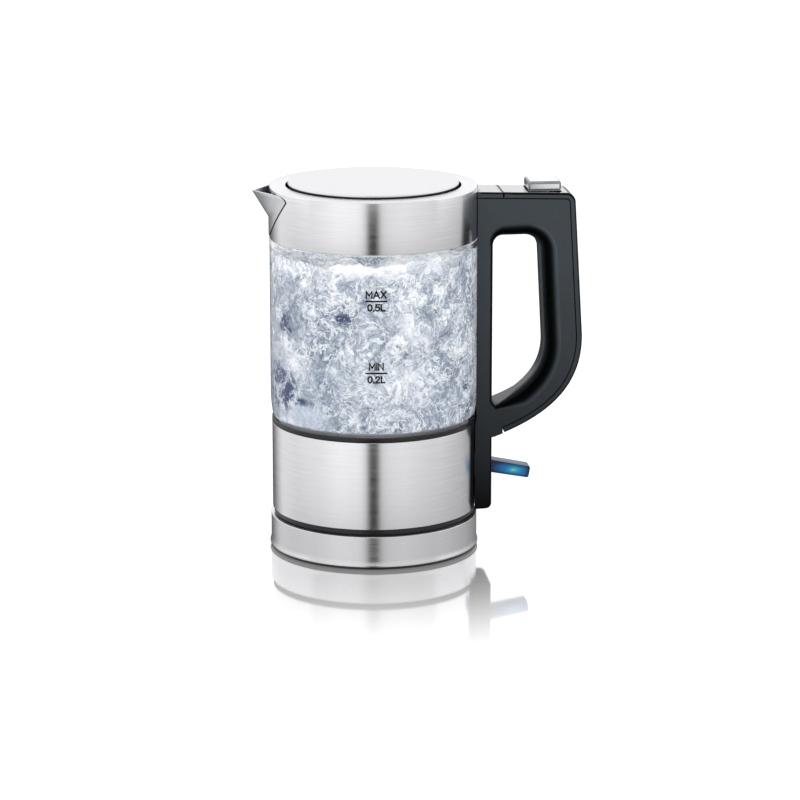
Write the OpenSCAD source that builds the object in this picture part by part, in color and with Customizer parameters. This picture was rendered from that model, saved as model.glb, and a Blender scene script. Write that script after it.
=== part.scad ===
// Cordless glass electric kettle: a round power base, a lift-off glass jug between a steel
// band and a steel collar, a hinged lid, a closed handle, a release button and a power lever.
// The origin is on the jug's axis in the plane the base stands on. +Z is up, +X points to the
// handle and -X to the spout. Every length is in millimetres.

/* [Power base] */
// Outer radius of the base's steel ring
base_r = 53.2; // [52.8:0.1:53.6]
// Height of the base's steel ring
base_top = 17.3; // [16.8:0.1:17.6]
// Radius of the socket tower of the cordless connector
tower_r = 15.8; // [15:0.1:16]
// Height of the socket tower's top
tower_top = 30; // [28:0.5:30.5]

/* [Jug] */
// Outer radius of the glass and of the collar
jug_r = 53; // [52.9:0.05:53.1]
// Thickness of the glass wall
glass_wall = 2.2; // [1.8:0.1:2.6]
// Outer radius of the lower steel band
band_r = 52.35; // [52.2:0.05:52.4]
// Height of the lower edge of the steel band
band_low = 20.8; // [20.4:0.1:21.2]
// Height of the upper edge of the steel band
band_top = 66; // [65:0.5:66]
// Height of the upper edge of the black ring under the glass
ring_top = 68.6; // [68:0.1:69]
// Height where the glass meets the collar
glass_top = 161.8; // [160:0.1:162.5]
// Height of the collar's flat rim
collar_top = 188.4; // [188:0.1:188.6]
// Radius of the mouth in the collar's rim
mouth_r = 44.7; // [44.7:0.05:45]
// Angle each side of the handle where the steel band is cut away
band_cut = 24.7; // [24:0.1:26]

/* [Lid] */
// Radius of the lid's steel cap
lid_r = 43.5; // [43:0.1:43.5]
// Height of the lid's top
lid_top = 190.3; // [190:0.1:190.5]
// Distance of the lid's hinge from the jug's axis
hinge_x = 48.8; // [48.7:0.1:49]
// Height of the lid's hinge
hinge_z = 184; // [183.9:0.05:184.1]

/* [Handle] */
// Width of the handle
handle_w = 24; // [22:0.5:26]
// Distance of the spine's outer face from the jug's axis
spine_x = 60; // [59.8:0.1:60.4]
// Height of the spine's lower end
spine_low = 19; // [18.6:0.1:20]
// Thickness of the strip over the handle's top and back
strip_t = 3; // [2.6:0.1:3.2]
// Thickness of the handle's side walls
side_wall = 2.4; // [2:0.1:3]

/* [Button and latch] */
// Length of the release button
button_l = 16.9; // [16:0.1:17]
// Width of the release button
button_w = 17.6; // [16:0.1:17.8]
// Height of the release button's top
button_top = 189.8; // [189:0.1:190.4]

/* [Power lever] */
// Distance of the lever's pivot from the jug's axis
pivot_x = 50; // [49.5:0.1:50.5]
// Height of the lever's pivot
pivot_z = 41.9; // [41:0.1:42.5]
// Length of the lever from its pivot to its tip
lever_l = 31.3; // [28:0.1:33]
// Width of the lever
lever_w = 9.4; // [8:0.1:9.6]
// Angle of the lever below level when it is on
lever_tilt = 10.7; // [9:0.1:12]

/* [Hidden] */
$fn = 96;

// Base
base_wall = 0.9;
base_flare = 0.6;
ring_low = 1.5;
inside_r = 52.1;
foot_in_r = 44.5;
foot_out_r = 48.5;
foot_h = 1.15;
base_screw_r = 40;
base_screw_turn = 30;
plate_low = 0.4;
plate_top = 2.4;
rim_z = 17.7;
tray_z = 17.2;
gland_z = 7.4;
gland_bore_r = 3.1;
gland_neck_r = 4.3;
tower_flange_z = 13.7;
pin_bore_r = 2.7;
slot_in_r = 8.4;
slot_out_r = 10.8;

// Jug-side plug
plug_r = 14.6;
plug_low = 30.8;
plug_pin_r = 2;
plug_ring_in_r = 9.2;
plug_ring_out_r = 10;
plug_ring_top = 37;

// Jug
cover_low = 18;
cover_r = 51.6;
cover_wall = 1.7;
well_r = 18.4;
well_top = 33.2;
glass_in_r = jug_r - glass_wall;
glass_low = 66.2;
glass_bend_z = 82;
glass_bend = 1.8;
floor_r = 46;
floor_top = 70.2;
floor_t = 1;
rim_r = 51;
rim_under = 63.6;
band_wall = 0.6;
control_low = 41;
control_top = 64.8;
control_tab_z = 47;
disc_x = 8;
collar_wall = 0.8;
liner_low = 176;
liner_in_r = 44.9;
liner_out_r = 52.1;
steam_z = 168.5;
duct_x = 54.1;
duct_t = 4.2;
duct_w = 15.8;
duct_top = 171.9;
duct_mouth_w = 8;
duct_mouth_h = 2.3;
upper_screw_z = 174.6;
control_screw_r = 21.5;
lower_screw_z = 27;

// Lid hinge
hinge_pin_r = 1;
hinge_pin_l = 29.6;
knuckle_r = 1.9;
arm_slot_low = 174.2;
bridge_low = 171;
arm_y = 9.8;
arm_w = 3.6;
arm_in_r = 7.5;
arm_out_r = 9.5;

// Latch
bolt_low = 178.9;
bolt_t = 2;
bolt_nose_x = 41.4;
bolt_end_x = 92.6;
button_x = 78.3;
stem_x = 82;
stem_low = 172.8;

// Lever
lever_pin_r = 1.2;
lever_root_t = 6.7;
lever_tip_t = 6;
lamp_x = 23;

// ---------- outlines of the handle, in the plane y = 0, as [x, z] ----------

function unit(v) = v / norm(v);

// A circular arc of n steps from angle a to angle b
function arc(cx, cz, r, a, b, n) =
    [for (i = [0:n]) let (t = a + (b - a) * i / n) [cx + r * cos(t), cz + r * sin(t)]];

// A cubic curve through p0 and p3, from share s to share e, in n steps
function curve(p0, p1, p2, p3, s, e, n) =
    [for (i = [0:n]) let (t = s + (e - s) * i / n, q = 1 - t)
        q * q * q * p0 + 3 * q * q * t * p1 + 3 * q * t * t * p2 + t * t * t * p3];

// Moves an open outline to the right of its own direction by d
function shifted(p, d) =
    [for (i = [0:len(p) - 1])
        let (a = i > 0 ? unit(p[i] - p[i - 1]) : unit(p[1] - p[0]),
             b = i < len(p) - 1 ? unit(p[i + 1] - p[i]) : a,
             u = unit(a + b))
        p[i] + d * [u[1], -u[0]]];

function reversed(p) = [for (i = [len(p) - 1:-1:0]) p[i]];

// Height of the handle's top face, which falls gently to the back
function top_z(x) = 185.3 - 0.028 * (x - 52);

corner_x = 97.3;
corner_r = 5;
corner_z = top_z(corner_x) - corner_r;
back_a = [106.4, 110];
back_b = [106.9, 82];
back_c = [88.2, 67.1];
back_d = [60, 56.9];
seam_x = 65.3;
strip_end = 0.92;

top_corner = arc(corner_x, corner_z, corner_r, 88, 3, 8);
strip_line = concat([[seam_x, top_z(seam_x)]], top_corner,
    curve(back_a, back_b, back_c, back_d, 0, strip_end, 14));
outer_line = concat([[50, top_z(50)]], strip_line,
    curve(back_a, back_b, back_c, back_d, strip_end + 0.02, 1, 3));
hole_line = concat([[spine_x, 76]], arc(spine_x + 5, 157, 5, 180, 90, 5),
    arc(76.6, 154, 8, 90, 3, 7),
    curve([87.1, 107], [87.6, 90], [76, 81], [62, 73.6], 0, 1, 12));

strip_outline = concat(strip_line, reversed(shifted(strip_line, strip_t)));
strip_room = concat([[seam_x - 0.15, top_z(seam_x) + 1]], shifted(strip_line, -1),
    reversed(shifted(strip_line, strip_t + 0.1)),
    [[seam_x - 0.15, top_z(seam_x) - strip_t - 0.1]]);
head_outline = [[50, top_z(50)], [seam_x - 0.3, top_z(seam_x)],
    [seam_x - 0.3, top_z(seam_x) - strip_t], [50, top_z(50) - strip_t]];
head_room = [[49, 190], [seam_x, 190], [seam_x, top_z(seam_x) - strip_t - 0.1],
    [49, top_z(49) - strip_t - 0.1]];
spine_outline = concat([[50, spine_low], [spine_x - 3, spine_low]],
    arc(spine_x - 3, spine_low + 3, 3, -90, 0, 5),
    [[spine_x, 58], [spine_x, 182], [50, 182]]);

// ---------- shared shapes ----------

// A round tube between two heights
module tube(r_out, r_in, low, high) {
    translate([0, 0, low])
        difference() {
            cylinder(r = r_out, h = high - low);
            translate([0, 0, -1]) cylinder(r = r_in, h = high - low + 2);
        }
}

// Extrudes an outline in the x-z plane to a width, centred on y = 0
module side_plate(outline, width) {
    rotate([90, 0, 0])
        linear_extrude(height = width, center = true) polygon(outline);
}

// A box centred on y = 0
module block(x0, x1, width, z0, z1) {
    translate([x0, -width / 2, z0]) cube([x1 - x0, width, z1 - z0]);
}

// A wedge from the jug's axis, spread each side of +X, to cut sectors with
module sector(angle, low, high) {
    reach = 80;
    translate([0, 0, low])
        linear_extrude(height = high - low)
            polygon([[0, 0], [reach, -reach * tan(angle)], [reach, reach * tan(angle)]]);
}

// A cylinder along +X, and one along Y centred on y = 0
module rod_x(x, z, r, length) {
    translate([x, 0, z]) rotate([0, 90, 0]) cylinder(r = r, h = length);
}
module rod_y(x, z, r, length) {
    translate([x, 0, z]) rotate([90, 0, 0]) cylinder(r = r, h = length, center = true);
}

// Copies its children at equal angles round the jug's axis
module around(count, radius, first) {
    for (i = [0:count - 1])
        rotate([0, 0, first + i * 360 / count]) translate([radius, 0, 0]) children();
}

// A coil spring standing on z = 0, one polyhedron with six-sided wire
module coil(coil_r, wire_r, turns, height) {
    sides = 6;
    steps = turns * 12;
    rise = height - 2 * wire_r;
    points = [for (i = [0:steps], k = [0:sides - 1])
        let (t = i * 30, b = k * 360 / sides, r = coil_r + wire_r * cos(b))
        [r * cos(t), r * sin(t), wire_r + rise * i / steps + wire_r * sin(b)]];
    side_faces = [for (i = [0:steps - 1], k = [0:sides - 1])
        let (a = i * sides + k, b = i * sides + (k + 1) % sides)
        each [[a, a + sides, b], [b, a + sides, b + sides]]];
    polyhedron(points, concat(side_faces,
        [[for (k = [0:sides - 1]) k]],
        [[for (k = [sides - 1:-1:0]) steps * sides + k]]));
}

// ---------- power base ----------

module base_ring() {
    lip_r = 50.6;
    color("silver")
        difference() {
            rotate_extrude()
                polygon([[base_r + base_flare, ring_low], [base_r + base_flare, ring_low + 0.9],
                    [base_r + 0.15, ring_low + 2.1], [base_r, ring_low + 3.5],
                    [base_r, base_top - 0.6], [base_r - 0.2, base_top - 0.2],
                    [base_r - 0.6, base_top], [lip_r, base_top], [lip_r, base_top - 0.8],
                    [base_r - base_wall, base_top - 0.8], [base_r - base_wall, ring_low]]);
            translate([0, base_r + 3, gland_z])
                rotate([90, 0, 0]) cylinder(r = gland_neck_r + 0.1, h = 10);
        }
}

module base_top_plate() {
    hub_r = 16.2;
    groove_z = 16.4;
    boss_r = 4;
    boss_bore_r = 1.3;
    color("black") {
        rotate_extrude()
            polygon([[hub_r, 15.7], [48.4, 15.7], [48.4, 14.6], [inside_r + 0.1, 14.6],
                [inside_r + 0.1, groove_z], [50.4, groove_z], [50.4, rim_z], [47, rim_z],
                [45.5, tray_z], [22, tray_z], [20, rim_z], [hub_r, rim_z]]);
        around(3, base_screw_r, base_screw_turn)
            tube(boss_r, boss_bore_r, plate_top + 0.1, 16);
    }
}

module base_bottom_plate() {
    edge_r = base_r + 0.1;
    edge_top = ring_low - 0.1;
    head_room_r = 3;
    color("black")
        difference() {
            rotate_extrude()
                polygon([[0, plate_low], [edge_r, plate_low], [edge_r, edge_top],
                    [inside_r, edge_top], [inside_r, plate_top], [0, plate_top]]);
            tube(foot_out_r + 0.05, foot_in_r - 0.05, -1, foot_h + 0.05);
            around(3, base_screw_r, base_screw_turn) {
                translate([0, 0, -1]) cylinder(r = head_room_r, h = 2.6);
                translate([0, 0, -1]) cylinder(r = 1.6, h = 5);
            }
        }
}

module base_foot_ring() {
    color("dimgray") tube(foot_out_r, foot_in_r, 0, foot_h);
}

module base_connector() {
    root_z = 6;
    root_r = 14;
    flange_r = 18.3;
    flange_t = 1.9;
    edge = 0.8;
    color([0.12, 0.12, 0.13])
        difference() {
            union() {
                translate([0, 0, root_z]) cylinder(r = root_r, h = tower_flange_z - root_z + 1);
                translate([0, 0, tower_flange_z]) cylinder(r = flange_r, h = flange_t);
                translate([0, 0, tower_flange_z])
                    cylinder(r = tower_r, h = tower_top - tower_flange_z - edge);
                translate([0, 0, tower_top - edge])
                    cylinder(r1 = tower_r, r2 = tower_r - edge, h = edge);
            }
            translate([0, 0, 17]) cylinder(r = pin_bore_r, h = 20);
            tube(slot_out_r, slot_in_r, 18, 40);
        }
}

// A sleeve for the pin, three leaves for the ring and three tails under the tower
module base_contacts() {
    tail_t = 0.8;
    tail_w = 5;
    color("gold") {
        tube(pin_bore_r - 0.05, plug_pin_r + 0.1, 17.05, 23);
        intersection() {
            tube(slot_in_r + 0.55, slot_in_r + 0.05, 18.05, 26);
            for (turn = [0, 120, 240]) rotate([0, 0, turn]) sector(18, 10, 30);
        }
        for (x = [-9, 0, 9])
            translate([x - tail_t / 2, -tail_w / 2, 3]) cube([tail_t, tail_w, 2.95]);
    }
}

module base_screws() {
    head_r = 2.8;
    head_t = 1;
    slot_w = 0.7;
    slot_l = 3.2;
    head_z = 0.6;
    color("silver")
        around(3, base_screw_r, base_screw_turn) {
            difference() {
                translate([0, 0, head_z]) cylinder(r = head_r, h = head_t);
                for (turn = [0, 90])
                    rotate([0, 0, turn])
                        translate([-slot_l / 2, -slot_w / 2, 0]) cube([slot_l, slot_w, head_z + 0.5]);
            }
            translate([0, 0, head_z + head_t]) cylinder(r = 1.25, h = 9);
        }
}

module cord_gland() {
    length = 8;
    flange_r = 4.9;
    color("black")
        translate([0, base_r + 0.4, gland_z])
            rotate([90, 0, 0])
                difference() {
                    union() {
                        cylinder(r = gland_neck_r, h = length);
                        translate([0, 0, 2.4]) cylinder(r = flange_r, h = 1.6);
                    }
                    translate([0, 0, -1]) cylinder(r = gland_bore_r, h = length + 4);
                }
}

// ---------- jug-side connector ----------

module plug_housing() {
    height = 8.2;
    flange_r = 17.2;
    color([0.12, 0.12, 0.13])
        difference() {
            union() {
                translate([0, 0, plug_low]) cylinder(r = plug_r, h = height);
                translate([0, 0, well_top + 0.3]) cylinder(r = flange_r, h = 1.5);
            }
            translate([0, 0, 25]) cylinder(r = plug_pin_r + 0.02, h = 20);
            tube(plug_ring_out_r + 0.02, plug_ring_in_r - 0.02, 25, plug_ring_top + 0.05);
        }
}

module plug_contacts() {
    tip_z = 19;
    tip_h = 1.6;
    color("gold") {
        translate([0, 0, tip_z]) cylinder(r1 = 1.1, r2 = plug_pin_r, h = tip_h);
        translate([0, 0, tip_z + tip_h]) cylinder(r = plug_pin_r, h = 19.9);
        tube(plug_ring_out_r, plug_ring_in_r, 21, plug_ring_top);
    }
}

// ---------- jug, lower part ----------

module jug_bottom_cover() {
    inner_z = cover_low + 1.8;
    step_z = 31.5;
    color("black")
        rotate_extrude()
            polygon([[well_r, cover_low], [cover_r - 0.4, cover_low], [cover_r, cover_low + 0.4],
                [cover_r, 24], [cover_r - cover_wall, 24], [cover_r - cover_wall, inner_z],
                [well_r + 1.6, inner_z], [well_r + 1.6, well_top], [plug_r + 0.3, well_top],
                [plug_r + 0.3, step_z], [well_r, step_z]]);
}

module lower_band() {
    color("silver")
        difference() {
            tube(band_r, band_r - band_wall, band_low, band_top);
            sector(band_cut, band_low - 1, band_top + 1);
        }
}

module control_unit() {
    body_r = 20;
    neck_r = 16;
    step_z = 50;
    tab_r = 3.6;
    color("ivory")
        difference() {
            union() {
                translate([0, 0, control_low]) cylinder(r = body_r, h = step_z - control_low);
                translate([0, 0, step_z]) cylinder(r = neck_r, h = control_top - step_z);
                around(3, control_screw_r, 60)
                    translate([0, 0, control_tab_z]) cylinder(r = tab_r, h = step_z - control_tab_z);
                block(-12, 12, 44, control_low, control_low + 5);
            }
            around(3, control_screw_r, 60) {
                translate([0, 0, 40]) cylinder(r = 1.5, h = 12);
                translate([0, 0, 40]) cylinder(r = 2.8, h = control_tab_z - 40.02);
            }
            for (x = [-disc_x, disc_x]) translate([x, 0, 40]) cylinder(r = 3, h = 4);
        }
}

module control_screws() {
    head_t = 1.55;
    color("silver")
        around(3, control_screw_r, 60) {
            translate([0, 0, control_tab_z - 0.05 - head_t]) cylinder(r = 2.6, h = head_t);
            translate([0, 0, control_tab_z - 0.1]) cylinder(r = 1.3, h = 19.6);
        }
}

module bimetal_discs() {
    disc_r = 6.4;
    sheet = 0.4;
    color("silver")
        for (x = [-disc_x, disc_x])
            translate([x, 0, control_top + 0.2])
                rotate_extrude()
                    polygon([[0, 0.9], [3, 0.75], [disc_r, 0], [disc_r, sheet], [3, 0.75 + sheet],
                        [0, 0.9 + sheet]]);
}

module heating_plate() {
    color("lightgray")
        rotate_extrude()
            polygon([[0, floor_top - floor_t], [floor_r - 1.4, floor_top - floor_t],
                [floor_r - floor_t, floor_top - 1.4], [floor_r - floor_t, rim_under],
                [rim_r, rim_under], [rim_r, rim_under + 1], [floor_r, rim_under + 1],
                [floor_r, floor_top - 0.8], [floor_r - 0.8, floor_top], [0, floor_top]]);
}

module heating_element() {
    element_r = 30;
    sheath_r = 3.2;
    spreader_r = 38;
    spreader_t = 2.5;
    end_r = 1.8;
    end_low = 54;
    gap = 30;
    color("gray") {
        translate([0, 0, floor_top - floor_t - 0.1 - spreader_t])
            cylinder(r = spreader_r, h = spreader_t);
        rotate([0, 0, gap])
            rotate_extrude(angle = 360 - 2 * gap)
                translate([element_r, rim_under]) circle(r = sheath_r);
        for (side = [-1, 1])
            rotate([0, 0, side * (gap + 3)])
                translate([element_r, 0, end_low]) cylinder(r = end_r, h = rim_under - end_low);
    }
}

module lower_seal() {
    seal_in_r = floor_r + 0.6;
    seal_out_r = 51.5;
    color("white")
        rotate_extrude()
            polygon([[seal_in_r, rim_under + 1.1], [seal_out_r, rim_under + 1.1],
                [seal_out_r, glass_low - 0.05], [48, glass_low - 0.05], [seal_in_r, 65.4]]);
}

module lower_ring() {
    clamp_z = 62.6;
    color("black")
        rotate_extrude()
            polygon([[band_r + 0.05, band_top + 0.05], [band_r + 0.05, ring_top - 0.3],
                [band_r - 0.2, ring_top], [51.9, ring_top], [51.6, glass_low + 0.2],
                [51.6, rim_under + 1], [rim_r + 0.1, rim_under + 1],
                [rim_r + 0.1, rim_under - 0.1], [46.9, rim_under - 0.1], [46.9, clamp_z],
                [51.65, clamp_z], [51.65, band_top + 0.05]]);
}

module inner_wires() {
    wire_r = 0.9;
    color("firebrick")
        for (y = [-9, 9])
            translate([20.2, y, 45])
                rotate([0, 90, 0]) cylinder(r = wire_r, h = 20.7);
}

// ---------- jug, upper part ----------

// The glass narrows below the bend by a parabola
function glass_out(z) = jug_r - glass_bend * pow((glass_bend_z - z) / (glass_bend_z - glass_low), 2);

module glass_body() {
    steps = 8;
    low_line = [for (i = [0:steps])
        let (z = glass_low + (glass_bend_z - glass_low) * i / steps) [glass_out(z), z]];
    end_z = glass_top - 0.3;
    color([0.8, 0.9, 0.95, 0.35])
        rotate_extrude()
            polygon(concat(low_line, [[jug_r, end_z], [glass_in_r, end_z]],
                [for (i = [steps:-1:0]) low_line[i] - [glass_wall, 0]]));
}

module upper_seal() {
    color("white")
        tube(jug_r - collar_wall - 0.1, glass_in_r + 0.1, glass_top - 0.25, glass_top + 1.2);
}

// The spout is a sheet folded along its front, from a point on the collar up to the lip
spout_low = 163.5;
spout_top = 186.5;
spout_corner_z = 184;
spout_edge_r = jug_r + 0.4;

// Half angle that the spout spans on the collar: a V with rounded upper corners
function spout_angle(z) =
    let (share = min(1, (z - spout_low) / (spout_corner_z - spout_low)),
         over = max(0, z - spout_corner_z) / (spout_top - spout_corner_z))
    1.5 + 27.1 * pow(share, 0.8) - 5 * over * over;

// Distance of the spout's fold from the jug's axis
function spout_fold(z) = max(spout_edge_r + 0.1, 52.9 + 9.2 * (z - 171.2) / (spout_top - 171.2));

// One level of the spout's outer face, or of its inner face, one sheet further in
function spout_line(z, sheet) =
    let (a = spout_angle(z) - 1.3 * sheet, least_r = sheet == 0 ? spout_edge_r : jug_r + 0.12,
         fold = [-spout_fold(z) + 1.5 * sheet, 0], edge = least_r * [-cos(a), sin(a)])
    [for (i = [-3:3])
        let (share = abs(i) / 3, p = fold * (1 - share) + edge * share,
             q = p * max(1, least_r / norm(p)))
        [q[0], i < 0 ? q[1] : -q[1], z]];

module spout() {
    steps = 20;
    corners = 14;
    points = [for (i = [0:steps])
        let (z = spout_low + (spout_top - spout_low) * i / steps)
        each concat(spout_line(z, 0), reversed(spout_line(z, 1)))];
    sides = [for (i = [0:steps - 1], k = [0:corners - 1])
        let (a = i * corners + k, b = i * corners + (k + 1) % corners)
        each [[a, a + corners, b], [b, a + corners, b + corners]]];
    color("silver")
        polyhedron(points, concat(sides, [[for (k = [0:corners - 1]) k]],
            [[for (k = [corners - 1:-1:0]) steps * corners + k]]));
}

module collar() {
    window_low = 171.5;
    window_top = 186.6;
    window_half_w = 21;
    color("silver")
        difference() {
            rotate_extrude()
                polygon([[jug_r, glass_top], [jug_r, collar_top - 0.8],
                    [jug_r - 0.12, collar_top - 0.35], [jug_r - 0.4, collar_top - 0.08],
                    [jug_r - 0.8, collar_top], [mouth_r, collar_top],
                    [mouth_r, collar_top - 0.7], [jug_r - collar_wall, collar_top - 0.7],
                    [jug_r - collar_wall, glass_top]]);
            // pouring window behind the spout
            rotate([90, 0, -90])
                linear_extrude(height = 80)
                    polygon([[0, window_low], [window_half_w, window_top],
                        [-window_half_w, window_top]]);
            // ways for the latch bolt, the steam and the screw
            block(50, 60, 8, bolt_low - 0.5, bolt_low + bolt_t + 0.5);
            block(50, 60, duct_mouth_w + 0.6, steam_z - duct_mouth_h - 0.3,
                steam_z + duct_mouth_h + 0.3);
            rod_x(50, upper_screw_z, 1.5, 10);
        }
}

module collar_liner() {
    liner_top = collar_top - 0.75;
    wall = 1.5;
    rear_w = 36;
    color("black")
        difference() {
            union() {
                rotate_extrude()
                    polygon([[liner_in_r, liner_low], [liner_out_r, liner_low],
                        [liner_out_r, liner_low + wall], [liner_in_r + wall, liner_low + wall],
                        [liner_in_r + wall, liner_top], [liner_in_r, liner_top]]);
                intersection() {
                    block(44, 60, rear_w, bridge_low, liner_top);
                    tube(liner_out_r, liner_in_r, bridge_low, liner_top);
                }
            }
            rod_y(hinge_x, hinge_z, hinge_pin_r + 0.02, hinge_pin_l + 0.2);
            // room for the latch bolt and the spring, and for the lid's two arms
            block(40, 60, 8.8, arm_slot_low, 190);
            for (side = [-1, 1])
                translate([0, side * arm_y, 0]) block(36, 60, arm_w + 0.5, arm_slot_low, 190);
            // room for the head of the handle's upper screw
            rod_x(40, upper_screw_z, 2.1, 20);
            // open at the spout
            translate([-80, -24, liner_low - 1]) cube([70, 48, 20]);
        }
}

module hinge_pin() {
    color("silver") rod_y(hinge_x, hinge_z, hinge_pin_r, hinge_pin_l);
}

// ---------- lid ----------

shell_low = 177.5;
shell_floor_t = 1.6;
cap_low = lid_top - 1.2;

module lid_cap() {
    color("silver")
        rotate_extrude()
            polygon([[0, lid_top - 0.7], [lid_r - 0.9, lid_top - 0.7], [lid_r - 0.9, cap_low],
                [lid_r - 0.1, cap_low], [lid_r, cap_low + 0.1], [lid_r - 0.05, lid_top - 0.7],
                [lid_r - 0.4, lid_top - 0.2], [lid_r - 1.1, lid_top], [0, lid_top]]);
}

// A curved arm that passes round the rim's edge, so that the lid opens over the rim
module hinge_arm() {
    from = 157;
    to = 250;
    link = 241;
    link_t = 2.2;
    rotate([90, 0, 0])
        linear_extrude(height = arm_w, center = true)
            translate([hinge_x, hinge_z]) {
                circle(r = knuckle_r);
                polygon(concat(arc(0, 0, arm_out_r, from, to, 12), arc(0, 0, arm_in_r, to, from, 12)));
                rotate(link) translate([0, -link_t / 2]) square([arm_out_r - 0.4, link_t]);
            }
}

module lid_shell() {
    shell_top = lid_top - 0.75;
    shell_r = 41;
    wall = 2;
    brim_r = 42.4;
    brim_z = 187.1;
    edge_z = cap_low - 0.05;
    color([0.1, 0.1, 0.11])
        difference() {
            union() {
                rotate_extrude()
                    polygon([[0, shell_low], [shell_r, shell_low], [shell_r, 184],
                        [brim_r, 184.8], [brim_r, brim_z], [lid_r - 0.2, brim_z],
                        [lid_r - 0.2, edge_z], [lid_r - 0.95, edge_z], [lid_r - 0.95, shell_top],
                        [shell_r, shell_top], [shell_r - wall, 185],
                        [shell_r - wall, shell_low + shell_floor_t],
                        [0, shell_low + shell_floor_t]]);
                for (side = [-1, 1]) translate([0, side * arm_y, 0]) hinge_arm();
            }
            rod_y(hinge_x, hinge_z, hinge_pin_r + 0.06, 40);
            // keeper slot for the latch bolt
            block(shell_r - 1.2, 50, 8, bolt_low - 0.5, bolt_low + bolt_t + 0.5);
        }
}

module lid_plate() {
    plate_t = 0.55;
    vent_r = 1.5;
    color("lightgray")
        difference() {
            translate([0, 0, shell_low - 0.05 - plate_t]) cylinder(r = 39, h = plate_t);
            around(5, 12, 36) translate([0, 0, 170]) cylinder(r = vent_r, h = 10);
        }
}

module lid_spring() {
    color("silver")
        translate([hinge_x, 3.3, hinge_z])
            rotate([90, 0, 0]) coil(1.6, 0.3, 8, 6.6);
}

// ---------- handle ----------

module handle_solid() {
    difference() {
        union() {
            side_plate(outer_line_closed(), handle_w);
            side_plate(spine_outline, handle_w);
        }
        side_plate(hole_line, handle_w + 2);
        translate([0, 0, band_top - 0.05]) cylinder(r = jug_r + 0.1, h = 150);
        cylinder(r = 52.1, h = 100);
        side_plate(strip_room, handle_w + 2);
        side_plate(head_room, handle_w + 2);
    }
}

// The outer line joined back along the spine
function outer_line_closed() = concat(outer_line, [[spine_x - 5, 56.9], [50, 100], [50, 150]]);

// Room for the latch, the button and the springs between the grip's walls
module grip_room() {
    wall = 2.4;
    difference() {
        side_plate(concat(shifted(strip_line, strip_t), [[67, 64], [67, 160]]),
            handle_w - 2 * side_wall);
        side_plate(concat(shifted(hole_line, -wall), [[50, 60]]), handle_w);
        block(40, 66, 40, 50, 190);
    }
}

// The handle's foot, which fills the gap in the steel band
module flange() {
    face_r = band_r - 0.15;
    intersection() {
        union() {
            tube(face_r, face_r - 2, 24.3, 62.3);
            tube(face_r, face_r - 0.35, band_low + 0.1, band_top - 0.1);
        }
        sector(band_cut - 0.3, 20, 70);
    }
}

module handle_body() {
    shelf_z = 176.3;
    screw_bore_r = 1.45;
    color([0.14, 0.15, 0.16])
        difference() {
            union() {
                handle_solid();
                flange();
            }
            difference() {
                grip_room();
                // shelf under the latch
                block(66, 76, 40, shelf_z, bolt_low - 0.2);
            }
            // latch way, steam duct way, lever pocket and slot
            block(40, 70, 8, bolt_low - 0.3, bolt_low + bolt_t + 0.3);
            block(duct_x - 0.1, duct_x + duct_t + 0.1, duct_w + 0.2, 50, duct_top + 0.1);
            block(49, 55, duct_mouth_w + 0.4, steam_z - duct_mouth_h - 0.2,
                steam_z + duct_mouth_h + 0.2);
            block(45, 57.4, 16, pivot_z - 10.9, pivot_z + 9.6);
            block(50, 62, lever_w + 1, pivot_z - 5.8, pivot_z + 5.1);
            rod_x(45, upper_screw_z, screw_bore_r, 14);
            rod_x(45, lower_screw_z, screw_bore_r, 12.6);
        }
}

module handle_cover() {
    color([0.14, 0.15, 0.16])
        difference() {
            side_plate(strip_outline, handle_w);
            block(button_x - 0.4, button_x + button_l + 0.4, button_w + 0.8, 175, 195);
        }
}

module hinge_cover() {
    color([0.14, 0.15, 0.16])
        difference() {
            side_plate(head_outline, handle_w);
            cylinder(r = jug_r + 0.1, h = 200);
        }
}

module lid_button() {
    skin = 1.2;
    bottom = 184.4;
    stem_w = 5.2;
    color("gainsboro") {
        difference() {
            translate([button_x, -button_w / 2, bottom])
                cube([button_l, button_w, button_top - bottom]);
            translate([button_x + skin, -button_w / 2 + skin, bottom - 1])
                cube([button_l - 2 * skin, button_w - 2 * skin, 3]);
        }
        side_plate([[stem_x, stem_low], [stem_x + 4, stem_low], [stem_x + 4, bolt_low - 0.9],
            [stem_x + 10.4, bottom + 1.1], [stem_x + 10.4, bottom + 2.2],
            [stem_x, bottom + 2.2]], stem_w);
    }
}

module button_spring() {
    color("silver")
        translate([stem_x + 2, 0, 164.6]) coil(2.4, 0.35, 5, stem_low - 164.7);
}

module latch_slider() {
    wide_x = 76;
    nose_w = 7;
    wide_w = 11.6;
    top = bolt_low + bolt_t;
    ramp_x = stem_x + 5.2;
    color([0.2, 0.2, 0.22])
        difference() {
            union() {
                block(bolt_nose_x, wide_x + 1, nose_w, bolt_low, top);
                block(wide_x, bolt_end_x, wide_w, bolt_low, top);
            }
            side_plate([[stem_x - 3.5, bolt_low - 1], [ramp_x - 1, bolt_low - 1],
                [ramp_x + 3, bolt_low + 3], [stem_x - 3.5, bolt_low + 3]], 6);
        }
}

module latch_spring() {
    color("silver")
        translate([bolt_end_x + 0.1, 0, bolt_low + 0.7])
            rotate([0, 90, 0]) coil(0.95, 0.25, 4, 5.2);
}

module steam_duct() {
    wall = 0.8;
    color("whitesmoke")
        difference() {
            union() {
                block(duct_x, duct_x + duct_t, duct_w, 58, duct_top);
                block(51, duct_x + 0.4, duct_mouth_w, steam_z - duct_mouth_h,
                    steam_z + duct_mouth_h);
            }
            block(duct_x + wall, duct_x + duct_t - wall, duct_w - 2 * wall, 50, duct_top - wall);
            block(50, duct_x + 1.9, duct_mouth_w - 2 * wall, steam_z - duct_mouth_h + wall,
                steam_z + duct_mouth_h - wall);
        }
}

// ---------- power switch ----------

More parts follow.
